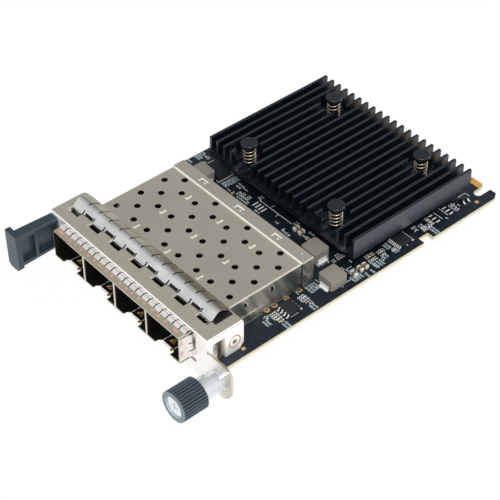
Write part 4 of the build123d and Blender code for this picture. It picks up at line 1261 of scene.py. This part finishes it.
@dataclass
class Cage:
    """The port cage: folded cover with round vents, rear cover, dividers, floor and what is inside."""

    half_width: float = 28.75
    top: float = 9.7
    sheet: float = 0.3
    front: float = -115.7
    rear: float = -71.25
    port_count: int = 4
    pitch: float = 14.25
    fold: float = 0.5
    punch: float = 1.2
    vent_radius: float = 1.0
    vent_x: float = 4.07
    vent_y: Pair = (-95.1, -90.65)
    vent_pitch: float = 8.95
    window: Pair = (5.3, 3.2)
    window_y: float = -105.8
    side_window: Pair = (4.0, 3.2)
    side_window_x: float = 27.4
    tab_rows: tuple[float, ...] = (-96.3, -86.6, -76.9)
    tab_slot: Pair = (0.3, 2.0)
    tab_slot_shift: float = -0.15
    # Place from the divider's top and full size of the long leg and the short leg of a bent tab
    tab_legs: tuple[tuple[Point, Point], ...] = (
        ((-0.15, 0.0, 0.08), (0.36, 2.1, 0.3)), ((-0.5, -0.88, 0.06), (0.5, 0.3, 0.14)),
    )
    pin: Pair = (0.6, 3.0)
    pin_z: float = -1.1
    lances: tuple[Pair, ...] = ((-92.0, 6.8), (-82.1, 7.1))
    lance_radius: float = 1.3
    tooth_shift: Point = (0.2, 0.35, -0.2)
    tooth: Point = (0.55, 0.4, 1.4)
    tooth_turn: float = 20.0
    rear_mark_x: tuple[float, ...] = (-17.0, -0.7, 15.65)
    # Shift across, place along and full size of each leg of a mark, then of each leg of a bent tab's root
    rear_marks: tuple[tuple[Pair, Point], ...] = (
        ((0.0, -68.5), (3.0, 0.42, 0.12)), ((-1.3, -69.3), (0.34, 1.2, 0.1)),
        ((1.0, -69.5), (0.5, 0.45, 0.1)),
    )
    tab_roots: tuple[tuple[Pair, Point], ...] = (
        ((-1.2, -68.8), (0.32, 1.84, 0.3)), ((-0.6, -69.6), (1.24, 0.32, 0.3)),
    )
    root_depth: float = 0.14
    pimple: Pair = (25.7, -68.4)
    pimple_radii: Pair = (0.3, 0.1)
    pimple_height: float = 0.12
    # Depth and height of the rear cover's front edge, which has a painted highlight, and how far it stands
    # back, down and out at each side
    front_edge_highlight: Pair = (0.4, 0.32)
    front_edge_highlight_shift: Point = (0.02, -0.12, 0.15)

    @property
    def ports(self) -> list[float]:
        """Return the middle of each port across the card."""
        return [(index - (self.port_count - 1) / 2) * self.pitch for index in range(self.port_count)]

    @property
    def dividers(self) -> list[float]:
        """Return the middle of each wall between two ports."""
        return [x + self.pitch / 2 for x in self.ports[:-1]]

    def build(self) -> None:
        """Make and dress the cage."""
        self.cover()
        self.divider_tabs()
        self.rear_details()
        rounded_node("cage_rear_cover", 0.08, Finishes.cage, "nickel_sheet")
        dress_node("cage_floor_flanges", Finishes.cage)
        for node in ("cage_base", "cage_dividers"):
            dress_node(node, Finishes.lining)
        dress_node("latch_springs", Finishes.brass)
        for number in range(1, self.port_count + 1):
            rounded_node(f"port_connector_{number}", 0.12, Finishes.connector, "connector_black")

    def vents(self) -> list[Pair]:
        """Place the round vents.

        Returns:
            The middle of each.
        """
        places = []
        for x in self.ports:
            for row in range(3):
                outer, inner = (y + row * self.vent_pitch for y in self.vent_y)
                places += [(x - self.vent_x, outer), (x + self.vent_x, outer), (x, inner)]
        return places

    def cover(self) -> None:
        """Fold the cover, then punch its holes and add its pins and teeth."""
        low = self.sheet
        path = [
            (-self.half_width, self.front, low), (-self.half_width, self.front, self.top),
            (self.half_width, self.front, self.top), (self.half_width, self.front, low),
        ]
        piece = folded_sheet("cage_shell", path, (0, self.rear - self.front, 0), self.sheet, (-1, 0, 0),
                             ((1, self.fold), (2, self.fold)))
        carve(piece, self.punches())
        join(piece, self.pins_and_teeth())
        smooth(piece)
        dress(piece, Finishes.cage, "nickel_sheet", "cage_cover", "cage_walls")

    def punches(self) -> Piece:
        """Add up what is punched out of the cover.

        Returns:
            A piece of vents, windows for the contact strip, slots for tabs, and open lances.
        """
        cutter = blank("cage_punch")
        top, punch = self.top, self.punch
        with editing(cutter):
            for x, y in self.vents():
                add_rod((x, y, top), self.vent_radius, punch, 24)
            for index in range(1, 6):
                add_block((finger_x(2 * index + 0.5), self.window_y, top), (*self.window, punch))
            for x in (-self.side_window_x, self.side_window_x):
                add_block((x, self.window_y, top), (*self.side_window, punch))
            for x in self.dividers:
                for y in self.tab_rows:
                    add_block((x + self.tab_slot_shift, y, top), (*self.tab_slot, punch))
            for side in (-1, 1):
                for y, z in self.lances:
                    wall = (side * self.half_width, y, z)
                    add_rod(wall, self.lance_radius, punch, 3, None, (side, 0, 0))
        return cutter

    def pins_and_teeth(self) -> Piece:
        """Make what stands out from the cover's walls.

        Returns:
            A piece of the press-in pins below and the slanted teeth beside the lances.
        """
        piece = blank("cage_details")
        out, back, up = self.tooth_shift
        with editing(piece):
            for side in (-1, 1):
                wall = side * (self.half_width - self.sheet / 2)
                for y in PIN_ROWS:
                    add_block((wall, y, self.pin_z), (self.sheet, *self.pin))
                for y, z in self.lances:
                    add_block((side * (self.half_width + out), y + back, z + up), self.tooth, self.tooth_turn)
        return piece

    def divider_tabs(self) -> None:
        """Bend the dividers' tabs over on the cover: a long leg and a short one."""
        boxes = []
        for x in self.dividers:
            for y in self.tab_rows:
                for (along_x, along_y, up), size in self.tab_legs:
                    boxes.append(((x + along_x, y + along_y, self.top + up), size, 0.0))
        # The bent tabs take the painted highlight
        dressed_blocks("divider_tabs", boxes, 0.05, Finishes.painted_highlight, "nickel_sheet")

    def rear_details(self) -> None:
        """Add the rear cover's edge, bent-up marks and pimple in painted highlight, and bent tabs' roots."""
        top = self.top + self.sheet
        back, down, out = self.front_edge_highlight_shift
        boxes = [((0.0, self.rear + back, top + down), (2 * (self.half_width + out), *self.front_edge_highlight), 0.0)]
        for x in self.rear_mark_x:
            boxes += [((x + shift, y, top), size, 0.0) for (shift, y), size in self.rear_marks]
        piece = blocks("rear_cover_marks", boxes)
        with editing(piece):
            add_rod((*self.pimple, top), self.pimple_radii[0], self.pimple_height, 16, self.pimple_radii[1])
        round_edges(piece, 0.03)
        dress(piece, Finishes.painted_highlight, "nickel_sheet")
        roots = []
        for x in self.dividers:
            for (shift, y), size in self.tab_roots:
                roots.append(((x + shift, y, top - self.root_depth), size, 0.0))
        dressed_blocks("rear_tab_roots", roots, 0.03, Finishes.cage, "nickel_sheet")


@dataclass
class Bracket:
    """The folded faceplate with its contact strips, side springs and rivets."""

    flange_top: float = 10.6
    strip: float = 0.15
    slit: float = 0.42
    fingers: int = 13
    # Y and Z, then size along both, of a cut between two fingers
    finger_cut: tuple[Pair, Pair] = ((-100.35, 12.0), (5.3, 4.0))
    # Y and full size of a cut between two feet, and of the one that lifts every second foot
    foot_cut: tuple[float, Point] = (-105.2, (0.5, 1.4, 1.4))
    lift: tuple[float, Point] = (-105.4, (3.6, 1.3, 1.3))
    # Y of the large strip's corners and their height above its foot
    wave: tuple[Pair, ...] = ((-105.65, 0.0), (-105.3, 0.0), (-102.7, 2.31), (-98.7, 0.03))
    wave_creases: tuple[tuple[int, float], ...] = ((2, 1.18), (1, 0.15))
    hook_width: float = 4.3
    # Y, height above the foot, depth and height of a hook's leg, of its toe and of its edge in painted
    # highlight
    hook: tuple[tuple[float, float, float, float], ...] = (
        (-105.72, -0.55, 0.15, 1.1), (-105.05, -1.03, 1.2, 0.15),
    )
    hook_highlight: tuple[float, float, float, float] = (-105.7, 0.1, 0.12, 0.3)
    gasket_half: float = 28.45
    gasket_fingers: int = 21
    gasket: tuple[Pair, ...] = ((-115.3, 0.0), (-113.4, 0.0), (-112.3, 0.57), (-111.4, 0.1))
    gasket_creases: tuple[tuple[int, float], ...] = ((2, 0.45), (1, 0.15))
    # Left end and length of the stretch that the slits divide, then place and size of a slit
    gasket_slits: Pair = (-28.75, 57.5)
    gasket_cut: tuple[Pair, Pair] = ((-112.35, 10.6), (2.6, 2.0))
    side_strip_x: float = 28.9
    # Y of the side strips' corners and how far they stand out
    side_wave: tuple[Pair, ...] = ((-115.65, 0.0), (-112.65, 0.0), (-111.6, 0.5), (-110.1, 0.0))
    side_creases: tuple[tuple[int, float], ...] = ((2, 0.4), (1, 0.15))
    side_strip_z: Pair = (0.7, 8.2)
    side_slit_z: Pair = (3.0, 5.88)
    side_cut_y: float = -111.2
    side_cut: Point = (2.0, 2.7, 0.45)
    side_cut_out: float = 0.2
    rivet: Pair = (-101.56, 4.17)
    rivet_edges: tuple[tuple[float, int], ...] = ((-35.8, -1), (35.0, 1))
    # How far the middle stands out from the plate, radius and length of shank, head and bore
    rivet_shank: Point = (-0.45, 0.8, 1.1)
    rivet_head: Point = (0.06, 2.2, 0.12)
    rivet_rim: float = 2.15
    rivet_bore: Point = (0.0, 0.5, 1.4)
    # Rings of painted shade where the heads' grooves are: how far out they lie, and their radii
    groove_out: float = 0.13
    groove_radii: tuple[Pair, ...] = ((2.1, 1.78), (0.78, 0.51))
    band_top: float = 9.85
    weld_y: float = -114.4
    weld_x: tuple[float, ...] = (
        -21.98, -19.21, -16.67, -13.34, -10.56, -7.89, -4.99, -2.42, 1.5, 4.21, 6.92, 9.65, 12.18, 15.68,
        18.4, 21.34,
    )
    weld_radius: float = 0.38
    weld_rise: float = 0.01
    weld_height: float = 0.03
    end_weld_x: Pair = (-26.4, 25.8)
    end_weld: Pair = (2.0, 0.6)
    side_weld_y: float = -114.9
    side_weld_z: Pair = (3.65, 7.55)
    side_weld: Pair = (0.4, 1.7)

    def build(self) -> None:
        """Make and dress the bracket."""
        rounded_node("faceplate", 0.12, Finishes.plate, "nickel_sheet")
        self.wave_strip()
        self.top_gasket()
        rounded_node("side_springs", 0.04, Finishes.leaf, "nickel_sheet")
        self.rivets()
        rounded_node("bracket_screws", 0.15, Finishes.nickel, "steel")
        self.side_gaskets()
        self.weld_spots()

    def wave_strip(self) -> None:
        """Fold the large contact strip, slit its fingers and hook it into the windows."""
        foot = self.flange_top + self.strip
        path = [(STRIP_LEFT, y, foot + rise) for y, rise in self.wave]
        width = (self.fingers * FINGER_PITCH, 0, 0)
        piece = folded_sheet("wave_strip", path, width, self.strip, (0, 0, 1), self.wave_creases)
        cutter = blank("finger_slits")
        with editing(cutter):
            for index in range(1, self.fingers):
                add_block((finger_x(index), *self.finger_cut[0]), (self.slit, *self.finger_cut[1]))
                add_block((finger_x(index), self.foot_cut[0], foot), self.foot_cut[1])
        carve(piece, cutter)
        y, size = self.lift
        lifted = [((finger_x(index + 0.55), y, foot), size, 0.0) for index in range(1, self.fingers, 2)]
        carve(piece, blocks("lifted_feet", lifted))
        join(piece, blocks("strip_hooks", self.hook_blocks(foot, self.hook)))
        smooth(piece)
        dress(piece, Finishes.strip, "bright_strip", "emi_strip")
        # Painted highlight along each hook's front edge
        edges = self.hook_blocks(foot, (self.hook_highlight,))
        dressed_blocks("finger_edge_highlights", edges, 0.03, Finishes.painted_highlight, "bright_strip")

    def hook_blocks(self, foot: float, runs: Sequence[tuple[float, float, float, float]]) -> list[Box]:
        """Lay boxes across every second finger of the large strip.

        Args:
            foot: Height of the strip's foot.
            runs: Y, height above the foot, depth and height of each box.

        Returns:
            The boxes.
        """
        boxes = []
        for index in range(0, self.fingers, 2):
            for y, rise, depth, height in runs:
                boxes.append(((finger_x(index + 0.5), y, foot + rise), (self.hook_width, depth, height), 0.0))
        return boxes

    def top_gasket(self) -> None:
        """Fold the small contact strip on the snout and slit its fingers."""
        path = [(-self.gasket_half, y, self.band_top + rise) for y, rise in self.gasket]
        width = (2 * self.gasket_half, 0, 0)
        piece = folded_sheet("snout_strip", path, width, self.strip, (0, 0, 1), self.gasket_creases)
        cutter = blank("snout_slits")
        left, span = self.gasket_slits
        with editing(cutter):
            for index in range(1, self.gasket_fingers):
                x = left + index * (span / self.gasket_fingers)
                add_block((x, *self.gasket_cut[0]), (self.slit, *self.gasket_cut[1]))
        carve(piece, cutter)
        smooth(piece)
        dress(piece, Finishes.band, "bright_strip", "snout_gasket_top")

    def side_gaskets(self) -> None:
        """Fold the small strips on both sides of the snout and slit their fingers."""
        piece = blank("snout_side_strips")
        low, height = self.side_strip_z
        for side in (-1, 1):
            path = [(side * (self.side_strip_x + out), y, low) for y, out in self.side_wave]
            outward = (side, 0, 0)
            strip = folded_sheet("side_strip", path, (0, 0, height), self.strip, outward, self.side_creases)
            x = side * (self.side_strip_x + self.side_cut_out)
            slits = [((x, self.side_cut_y, z), self.side_cut, 0.0) for z in self.side_slit_z]
            carve(strip, blocks("side_slits", slits))
            join(piece, strip)
        smooth(piece)
        dress(piece, Finishes.band, "bright_strip", "snout_gasket_sides")

    def rivets(self) -> None:
        """Set the side rivets: a shank, a flat head with two rings of painted shade and a hollow end."""
        piece = blank("side_rivets_finished")
        cutter = blank("rivet_hollows")
        groove_shade_rings = blank("rivet_groove_shade_rings")
        y, z = self.rivet
        for edge, side in self.rivet_edges:
            along = (side, 0, 0)
            with editing(piece):
                for (out, radius, length), sides, end_radius in (
                    (self.rivet_shank, 32, None), (self.rivet_head, 48, self.rivet_rim),
                ):
                    add_rod((edge + side * out, y, z), radius, length, sides, end_radius, along)
            with editing(cutter):
                out, radius, length = self.rivet_bore
                add_rod((edge + side * out, y, z), radius, length, 24, None, along)
            with editing(groove_shade_rings):
                for outer, inner in self.groove_radii:
                    add_ring((edge + side * self.groove_out, y, z), outer, inner, along)
        carve(piece, cutter)
        smooth(piece, 40)
        dress(piece, Finishes.plate, "nickel_sheet", "side_rivets")
        thicken(groove_shade_rings)
        dress(groove_shade_rings, Finishes.rivet_groove_shade, "nickel_sheet")

    def weld_spots(self) -> None:
        """Add the tinted spots where the small strips are welded to the cage."""
        piece = blank("weld_spots")
        top = self.band_top + self.weld_rise
        wall = self.side_strip_x + self.weld_rise
        with editing(piece):
            for x in self.weld_x:
                add_rod((x, self.weld_y, top), self.weld_radius, self.weld_height, 16)
            for x in self.end_weld_x:
                add_block((x, self.weld_y, top), (*self.end_weld, self.weld_height))
            for x in (-wall, wall):
                for z in self.side_weld_z:
                    add_block((x, self.side_weld_y, z), (self.weld_height, *self.side_weld))
        round_edges(piece, 0.01, 1)
        dress(piece, Finishes.weld, "bright_strip")


@dataclass
class Thumbscrew:
    """The captive thumbscrew: ribbed knob, screw, sleeve, collar and spring."""

    x: float = 40.1
    z: float = 0.4
    front: float = -127.1
    rear: float = -118.7
    radius: float = 4.77
    spring_radius: float = 2.0
    wire: float = 0.4
    spring_turns: float = 4.5
    travel: float = 4.2
    ribs: int = 32
    faces_per_rib: int = 6
    groove_faces: int = 3
    groove: float = 0.3
    rim: float = 0.8
    # Start, end and radius of each bore
    knob_bores: tuple[Point, ...] = ((-128, -125.7, 3.2), (-126, -124, 1.5), (-124.6, -118, 3.5))
    sleeve_bores: tuple[Point, ...] = ((-119.2, -109.8, 1.68), (-118.2, -111.3, 2.35))
    sleeve_profile: tuple[Pair, ...] = (
        (-118.9, 3.25), (-118.75, 3.35), (-112.6, 3.35), (-112.6, 2.8), (-111.8, 2.8), (-111.8, 3.35),
        (-111.3, 3.35), (-111.3, 2.7), (-110.5, 2.7), (-110.5, 3.1), (-110.1, 3.1),
    )

    def build(self) -> None:
        """Make and dress the thumbscrew."""
        self.knob()
        self.sleeve()
        rounded_node("thumbscrew_screw", 0.08, Finishes.nickel, "steel", THUMBSCREW)
        dress_node("thumbscrew_collar", Finishes.nickel)
        self.spring()

    def spring(self) -> None:
        """Wind the round wire spring between the collar and the faceplate, which the press shortens."""
        low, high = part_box("thumbscrew_spring")
        play = 0.55 * self.wire
        start, end = low[1] / MM + play, high[1] / MM - play
        coil = wound_coil(self.spring_radius, self.wire / 2, end - start, self.spring_turns)
        coil.name = coil.data.name = "thumbscrew_coil"
        lay_down = Matrix.Rotation(math.radians(-90.0), 4, "X")
        coil.data.transform(Matrix.Translation(to_metres((self.x, start, self.z))) @ lay_down)
        smooth(coil, 60)
        dress(coil, Finishes.wire, "spring_steel", "thumbscrew_spring")
        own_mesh(coil)

    def sleeve(self) -> None:
        """Turn the sleeve with its groove in front of the ear, and bore it for the screw and the spring."""
        piece = turned("thumbscrew_sleeve_finished", self.sleeve_profile, self.x, self.z)
        self.bore(piece, self.sleeve_bores, 0.08)
        dress(piece, Finishes.chrome, "steel", "thumbscrew_sleeve")

    def knob(self) -> None:
        """Turn the knob, press its grooves and bore it from both ends."""
        piece = blank("thumbscrew_knob_finished")
        sides = self.ribs * self.faces_per_rib
        middle = (self.x, (self.front + self.rear) / 2, self.z)
        with editing(piece):
            add_rod(middle, self.radius, self.rear - self.front, sides, None, (0, -1, 0))
            bpy.ops.mesh.select_all(action="SELECT")
            bpy.ops.mesh.bisect(plane_co=to_metres((0, self.front + self.rim, 0)), plane_no=(0, 1, 0))
        self.select_grooves(piece, sides)
        with editing(piece):
            bpy.ops.transform.shrink_fatten(value=-self.groove * MM)
        self.bore(piece, self.knob_bores, 0.06)
        dress(piece, Finishes.knob, "knob_plastic", "thumbscrew_knob", body=THUMBSCREW)

    def bore(self, piece: Piece, runs: Sequence[Point], rounding: float) -> None:
        """Bore a piece along the thumbscrew's axis and round its edges.

        Args:
            piece: The turned piece.
            runs: Start, end and radius of each bore.
            rounding: Width of the rounding.
        """
        cutter = blank("bores")
        with editing(cutter):
            for start, end, radius in runs:
                add_rod((self.x, (start + end) / 2, self.z), radius, end - start, 48, None, (0, 1, 0))
        carve(piece, cutter)
        round_edges(piece, rounding, 2, 50)

    def select_grooves(self, piece: Piece, sides: int) -> None:
        """Select the side faces that lie between the ribs, behind the rim.

        Args:
            piece: The knob.
            sides: Number of faces round it.
        """
        activate(piece)
        pick(faces=True)
        with editing(piece):
            bpy.ops.mesh.select_all(action="DESELECT")
        for face in piece.data.polygons:
            centre = face.center / MM
            angle = math.atan2(centre.z - self.z, centre.x - self.x) % (2 * math.pi)
            in_groove = int(angle / (2 * math.pi) * sides) % self.faces_per_rib < self.groove_faces
            behind = centre.y > self.front + self.rim
            face.select = abs(face.normal.y) < 0.5 and behind and in_groove


@dataclass
class PullTab:
    """The black pull tab left of the ports."""

    rounding: float = 0.3

    def build(self) -> None:
        """Round the tab's edges and dress it."""
        rounded_node("pull_tab", self.rounding, Finishes.tab, "tab_plastic", segments=3)


@dataclass
class SmallParts:
    """Inductors, chips, capacitors and resistors on the board."""

    capacitor: Point = (2.0, 1.25, 1.15)
    small_capacitor: Point = (1.0, 0.55, 0.5)
    resistor: Point = (1.0, 0.55, 0.35)
    cap_share: float = 0.24
    body_share: Pair = (0.96, 0.94)
    capacitors: tuple[tuple[float, float, Across], ...] = (
        (9.0, -55.1, Across.ALONG_Y), (11.2, -55.1, Across.ALONG_Y), (34.1, -53.0, Across.ALONG_X),
        (34.1, -51.0, Across.ALONG_X), (34.4, -55.8, Across.ALONG_X),
    )
    small_capacitors: tuple[Pair, ...] = (
        (14.2, -55.5), (15.2, -55.5), (16.2, -55.5), (33.3, -47.2), (33.9, -43.1), (34.4, -39.9),
        (33.9, -26.4), (34.1, -24.1), (32.0, -11.9), (31.4, -67.2), (34.9, -73.1), (34.9, -84.0),
        (-24.4, -52.6), (-16.0, -58.5), (-9.6, -58.3), (6.7, -58.3),
    )
    resistors: tuple[Pair, ...] = (
        (31.4, -47.2), (32.2, -43.1), (35.2, -45.0), (32.1, -28.4), (32.5, -26.6), (34.0, -12.3),
        (29.9, -68.6), (31.3, -72.9), (33.1, -84.4), (30.9, -86.6), (-35.4, -53.4), (-20.9, -57.5),
        (-12.9, -57.1), (-4.3, -58.6), (9.0, -58.4), (3.0, -57.5),
    )
    inductors: tuple[tuple[float, float, Across], ...] = (
        (21.0, -58.7, Across.ALONG_X), (32.7, -62.7, Across.ALONG_Y), (-27.5, -61.3, Across.ALONG_X),
    )
    foot: Point = (0.8, 3.6, 0.26)
    foot_reach: float = 3.55

    def build(self) -> None:
        """Make and dress the small parts."""
        rounded_node("power_inductors", 0.12, Finishes.powder, "inductor_grey")
        rounded_node("inductor_terminals", 0.06, Finishes.tin, "tin_terminal")
        self.terminal_feet()
        rounded_node("logic_chips", 0.08, Finishes.epoxy, "chip_black")
        rounded_node("chip_leads", 0.04, Finishes.tin, "tin_terminal")
        tan = (Finishes.ceramic, "ceramic_tan")
        large = [((x, y, 0.0), self.capacitor, way.value) for x, y, way in self.capacitors]
        small = [((x, y, 0.0), self.small_capacitor, Across.ALONG_Y.value) for x, y in self.small_capacitors]
        chips = [((x, y, 0.0), self.resistor, Across.ALONG_X.value) for x, y in self.resistors]
        self.capped("large_capacitor", large, *tan, "ceramic_capacitors")
        self.capped("small_capacitor", small, *tan, "chip_capacitors")
        self.capped("chip_resistor", chips, Finishes.epoxy, "chip_black", "chip_resistors")

    def terminal_feet(self) -> None:
        """Bend the inductors' terminals out on the board."""
        boxes = []
        for x, y, way in self.inductors:
            for reach in (-self.foot_reach, self.foot_reach):
                boxes.append((self.shifted(x, y, self.foot[2] / 2, reach, way.value), self.foot, way.value))
        dressed_blocks("terminal_feet", boxes, 0.05, Finishes.tin, "tin_terminal")

    def shifted(self, x: float, y: float, z: float, reach: float, turn: float) -> Point:
        """Return a place moved by a reach along a direction on the board, in degrees from X."""
        angle = math.radians(turn)
        return (x + reach * math.cos(angle), y + reach * math.sin(angle), z)

    def capped(self, name: str, parts: Sequence[Box], finish: Finish, slot: str, node: str) -> None:
        """Make a kind of small part: a body between two tinned end caps.

        Args:
            name: Name of the kind.
            parts: Place on the board, full size and turn of each.
            finish: Finish of the bodies.
            slot: Material slot of the bodies.
            node: CAD node that the bodies stand for.
        """
        bodies, caps = [], []
        wide, tall = self.body_share
        for (x, y, _), (length, width, height), turn in parts:
            cap = length * self.cap_share
            bodies.append(((x, y, height / 2), (length - 2 * cap, width * wide, height * tall), turn))
            for side in (-1, 1):
                place = self.shifted(x, y, height / 2, side * (length - cap) / 2, turn)
                caps.append((place, (cap, width, height), turn))
        dressed_blocks(f"{name}_bodies", bodies, 0.03, finish, slot, node)
        dressed_blocks(f"{name}_caps", caps, 0.06, Finishes.tin, "tin_terminal")


# Studio


@dataclass(frozen=True)
class Lamp:
    """A soft square lamp, in millimetres and watts."""

    name: str
    place: Point
    size: float
    power: float


@dataclass
class Studio:
    """White floor, soft light and the camera at the photograph's angle."""

    floor_z: float = -6.4
    floor_size: float = 6000.0
    card_middle: Point = (0.0, -60.0, 0.0)
    paper: str = "f4f4f4"
    white: str = "ffffff"
    glow_share: float = 0.97
    lamps: tuple[Lamp, ...] = (
        Lamp("key_lamp", (420.0, -330.0, 620.0), 360.0, 4.0),
        Lamp("rear_lamp", (160.0, 460.0, 520.0), 300.0, 1.5),
    )
    # Direction of the dim corner, how near to it the light starts and stops to fade, and the light there
    dim_corner: Point = (-0.6, 0.71, 0.367)
    dim_range: Pair = (-0.3, 0.9)
    room_light: Pair = (0.95, 0.36)
    eye: Point = (251.687, -284.889, 296.468)
    forward: Point = (-0.55668, 0.48568, -0.67396)
    right: Point = (0.65686, 0.75401, 0.00082)
    lens: float = 108.115
    sensor: float = 36.0
    shift_x: float = -0.001
    clip_start: float = 10.0

    def build(self) -> None:
        """Set the stage."""
        bpy.context.scene.view_settings.view_transform = "Standard"
        self.floor()
        self.world()
        for lamp in self.lamps:
            self.hang(lamp)
        self.camera()

    def floor(self) -> None:
        """Lay a white floor that keeps the object's shadow."""
        deselect_all()
        below = (self.card_middle[0], self.card_middle[1], self.floor_z)
        bpy.ops.mesh.primitive_plane_add(size=self.floor_size * MM, location=to_metres(below))
        floor = bpy.context.object
        floor.name = "floor"
        material = bpy.data.materials.new("white_paper_floor")
        material.use_nodes = True
        tree = material.node_tree
        tree.nodes.clear()
        paper = add_node(tree, "BsdfDiffuse", {"Color": srgb(self.paper)})
        glow = add_node(tree, "Emission", {"Color": srgb(self.white), "Strength": 1.0})
        mixed = add_node(tree, "MixShader", {
            0: self.seen_share(tree), 1: paper.outputs[0], 2: glow.outputs[0],
        })
        add_node(tree, "OutputMaterial", {"Surface": mixed.outputs[0]})
        floor.data.materials.append(material)

    def seen_share(self, tree: Tree) -> Socket:
        """Find what part of the floor glows.

        Args:
            tree: Material tree of the floor.

        Returns:
            The glow's share for camera, glossy and transmission rays, and zero for the rest.
        """
        path = add_node(tree, "LightPath").outputs
        seen = path["Is Camera Ray"]
        for ray in ("Is Glossy Ray", "Is Transmission Ray"):
            seen = add_node(tree, "Math", {0: seen, 1: path[ray]}, operation="MAXIMUM").outputs[0]
        share = {0: seen, 1: self.glow_share}
        return add_node(tree, "Math", share, operation="MULTIPLY").outputs[0]

    def world(self) -> None:
        """Light the room: white to the camera, pale all round and dim in the far corner of the ceiling."""
        world = bpy.data.worlds.new("studio_room")
        bpy.context.scene.world = world
        world.use_nodes = True
        tree = world.node_tree
        tree.nodes.clear()
        way = add_node(tree, "TexCoord").outputs["Generated"]
        towards = add_node(tree, "VectorMath", {
            0: way, 1: self.dim_corner,
        }, operation="DOT_PRODUCT").outputs["Value"]
        room = add_node(tree, "MapRange", {
            "Value": towards, "From Min": self.dim_range[0], "From Max": self.dim_range[1],
            "To Min": self.room_light[0], "To Max": self.room_light[1],
        }).outputs["Result"]
        camera_ray = add_node(tree, "LightPath").outputs["Is Camera Ray"]
        strength = add_node(tree, "Mix", {"Factor": camera_ray, 2: room, 3: 1.0}).outputs[0]
        glow = add_node(tree, "Background", {"Color": srgb(self.white), "Strength": strength})
        add_node(tree, "OutputWorld", {"Surface": glow.outputs[0]})

    def hang(self, lamp: Lamp) -> None:
        """Hang a lamp that points at the card.

        Args:
            lamp: Its name, place, size and power.
        """
        light = bpy.data.lights.new(lamp.name, "AREA")
        light.size = lamp.size * MM
        light.energy = lamp.power
        piece = bpy.data.objects.new(lamp.name, light)
        bpy.context.collection.objects.link(piece)
        piece.location = to_metres(lamp.place)
        aim = to_metres(self.card_middle) - piece.location
        piece.rotation_euler = aim.to_track_quat("-Z", "Y").to_euler()

    def camera(self) -> None:
        """Stand the camera where the photograph was taken."""
        data = bpy.data.cameras.new("photograph")
        data.lens = self.lens
        data.sensor_width = self.sensor
        data.shift_x = self.shift_x
        data.clip_start = self.clip_start * MM
        camera = bpy.data.objects.new("photograph", data)
        bpy.context.collection.objects.link(camera)
        back = -Vector(self.forward).normalized()
        right = Vector(self.right).normalized()
        turn = Matrix((right, back.cross(right), back)).transposed().to_4x4()
        camera.matrix_world = Matrix.Translation(to_metres(self.eye)) @ turn
        bpy.context.scene.camera = camera


def main() -> None:
    """Build the looks in order."""
    logging.basicConfig(level=logging.INFO, format="%(name)s: %(message)s")
    parts = (Board(), HeatSink(), Cage(), Bracket(), Thumbscrew(), PullTab(), SmallParts(), Studio())
    for part in parts:
        log.info("building %s", type(part).__name__)
        part.build()
    deselect_all()


if __name__ == "__main__":
    main()
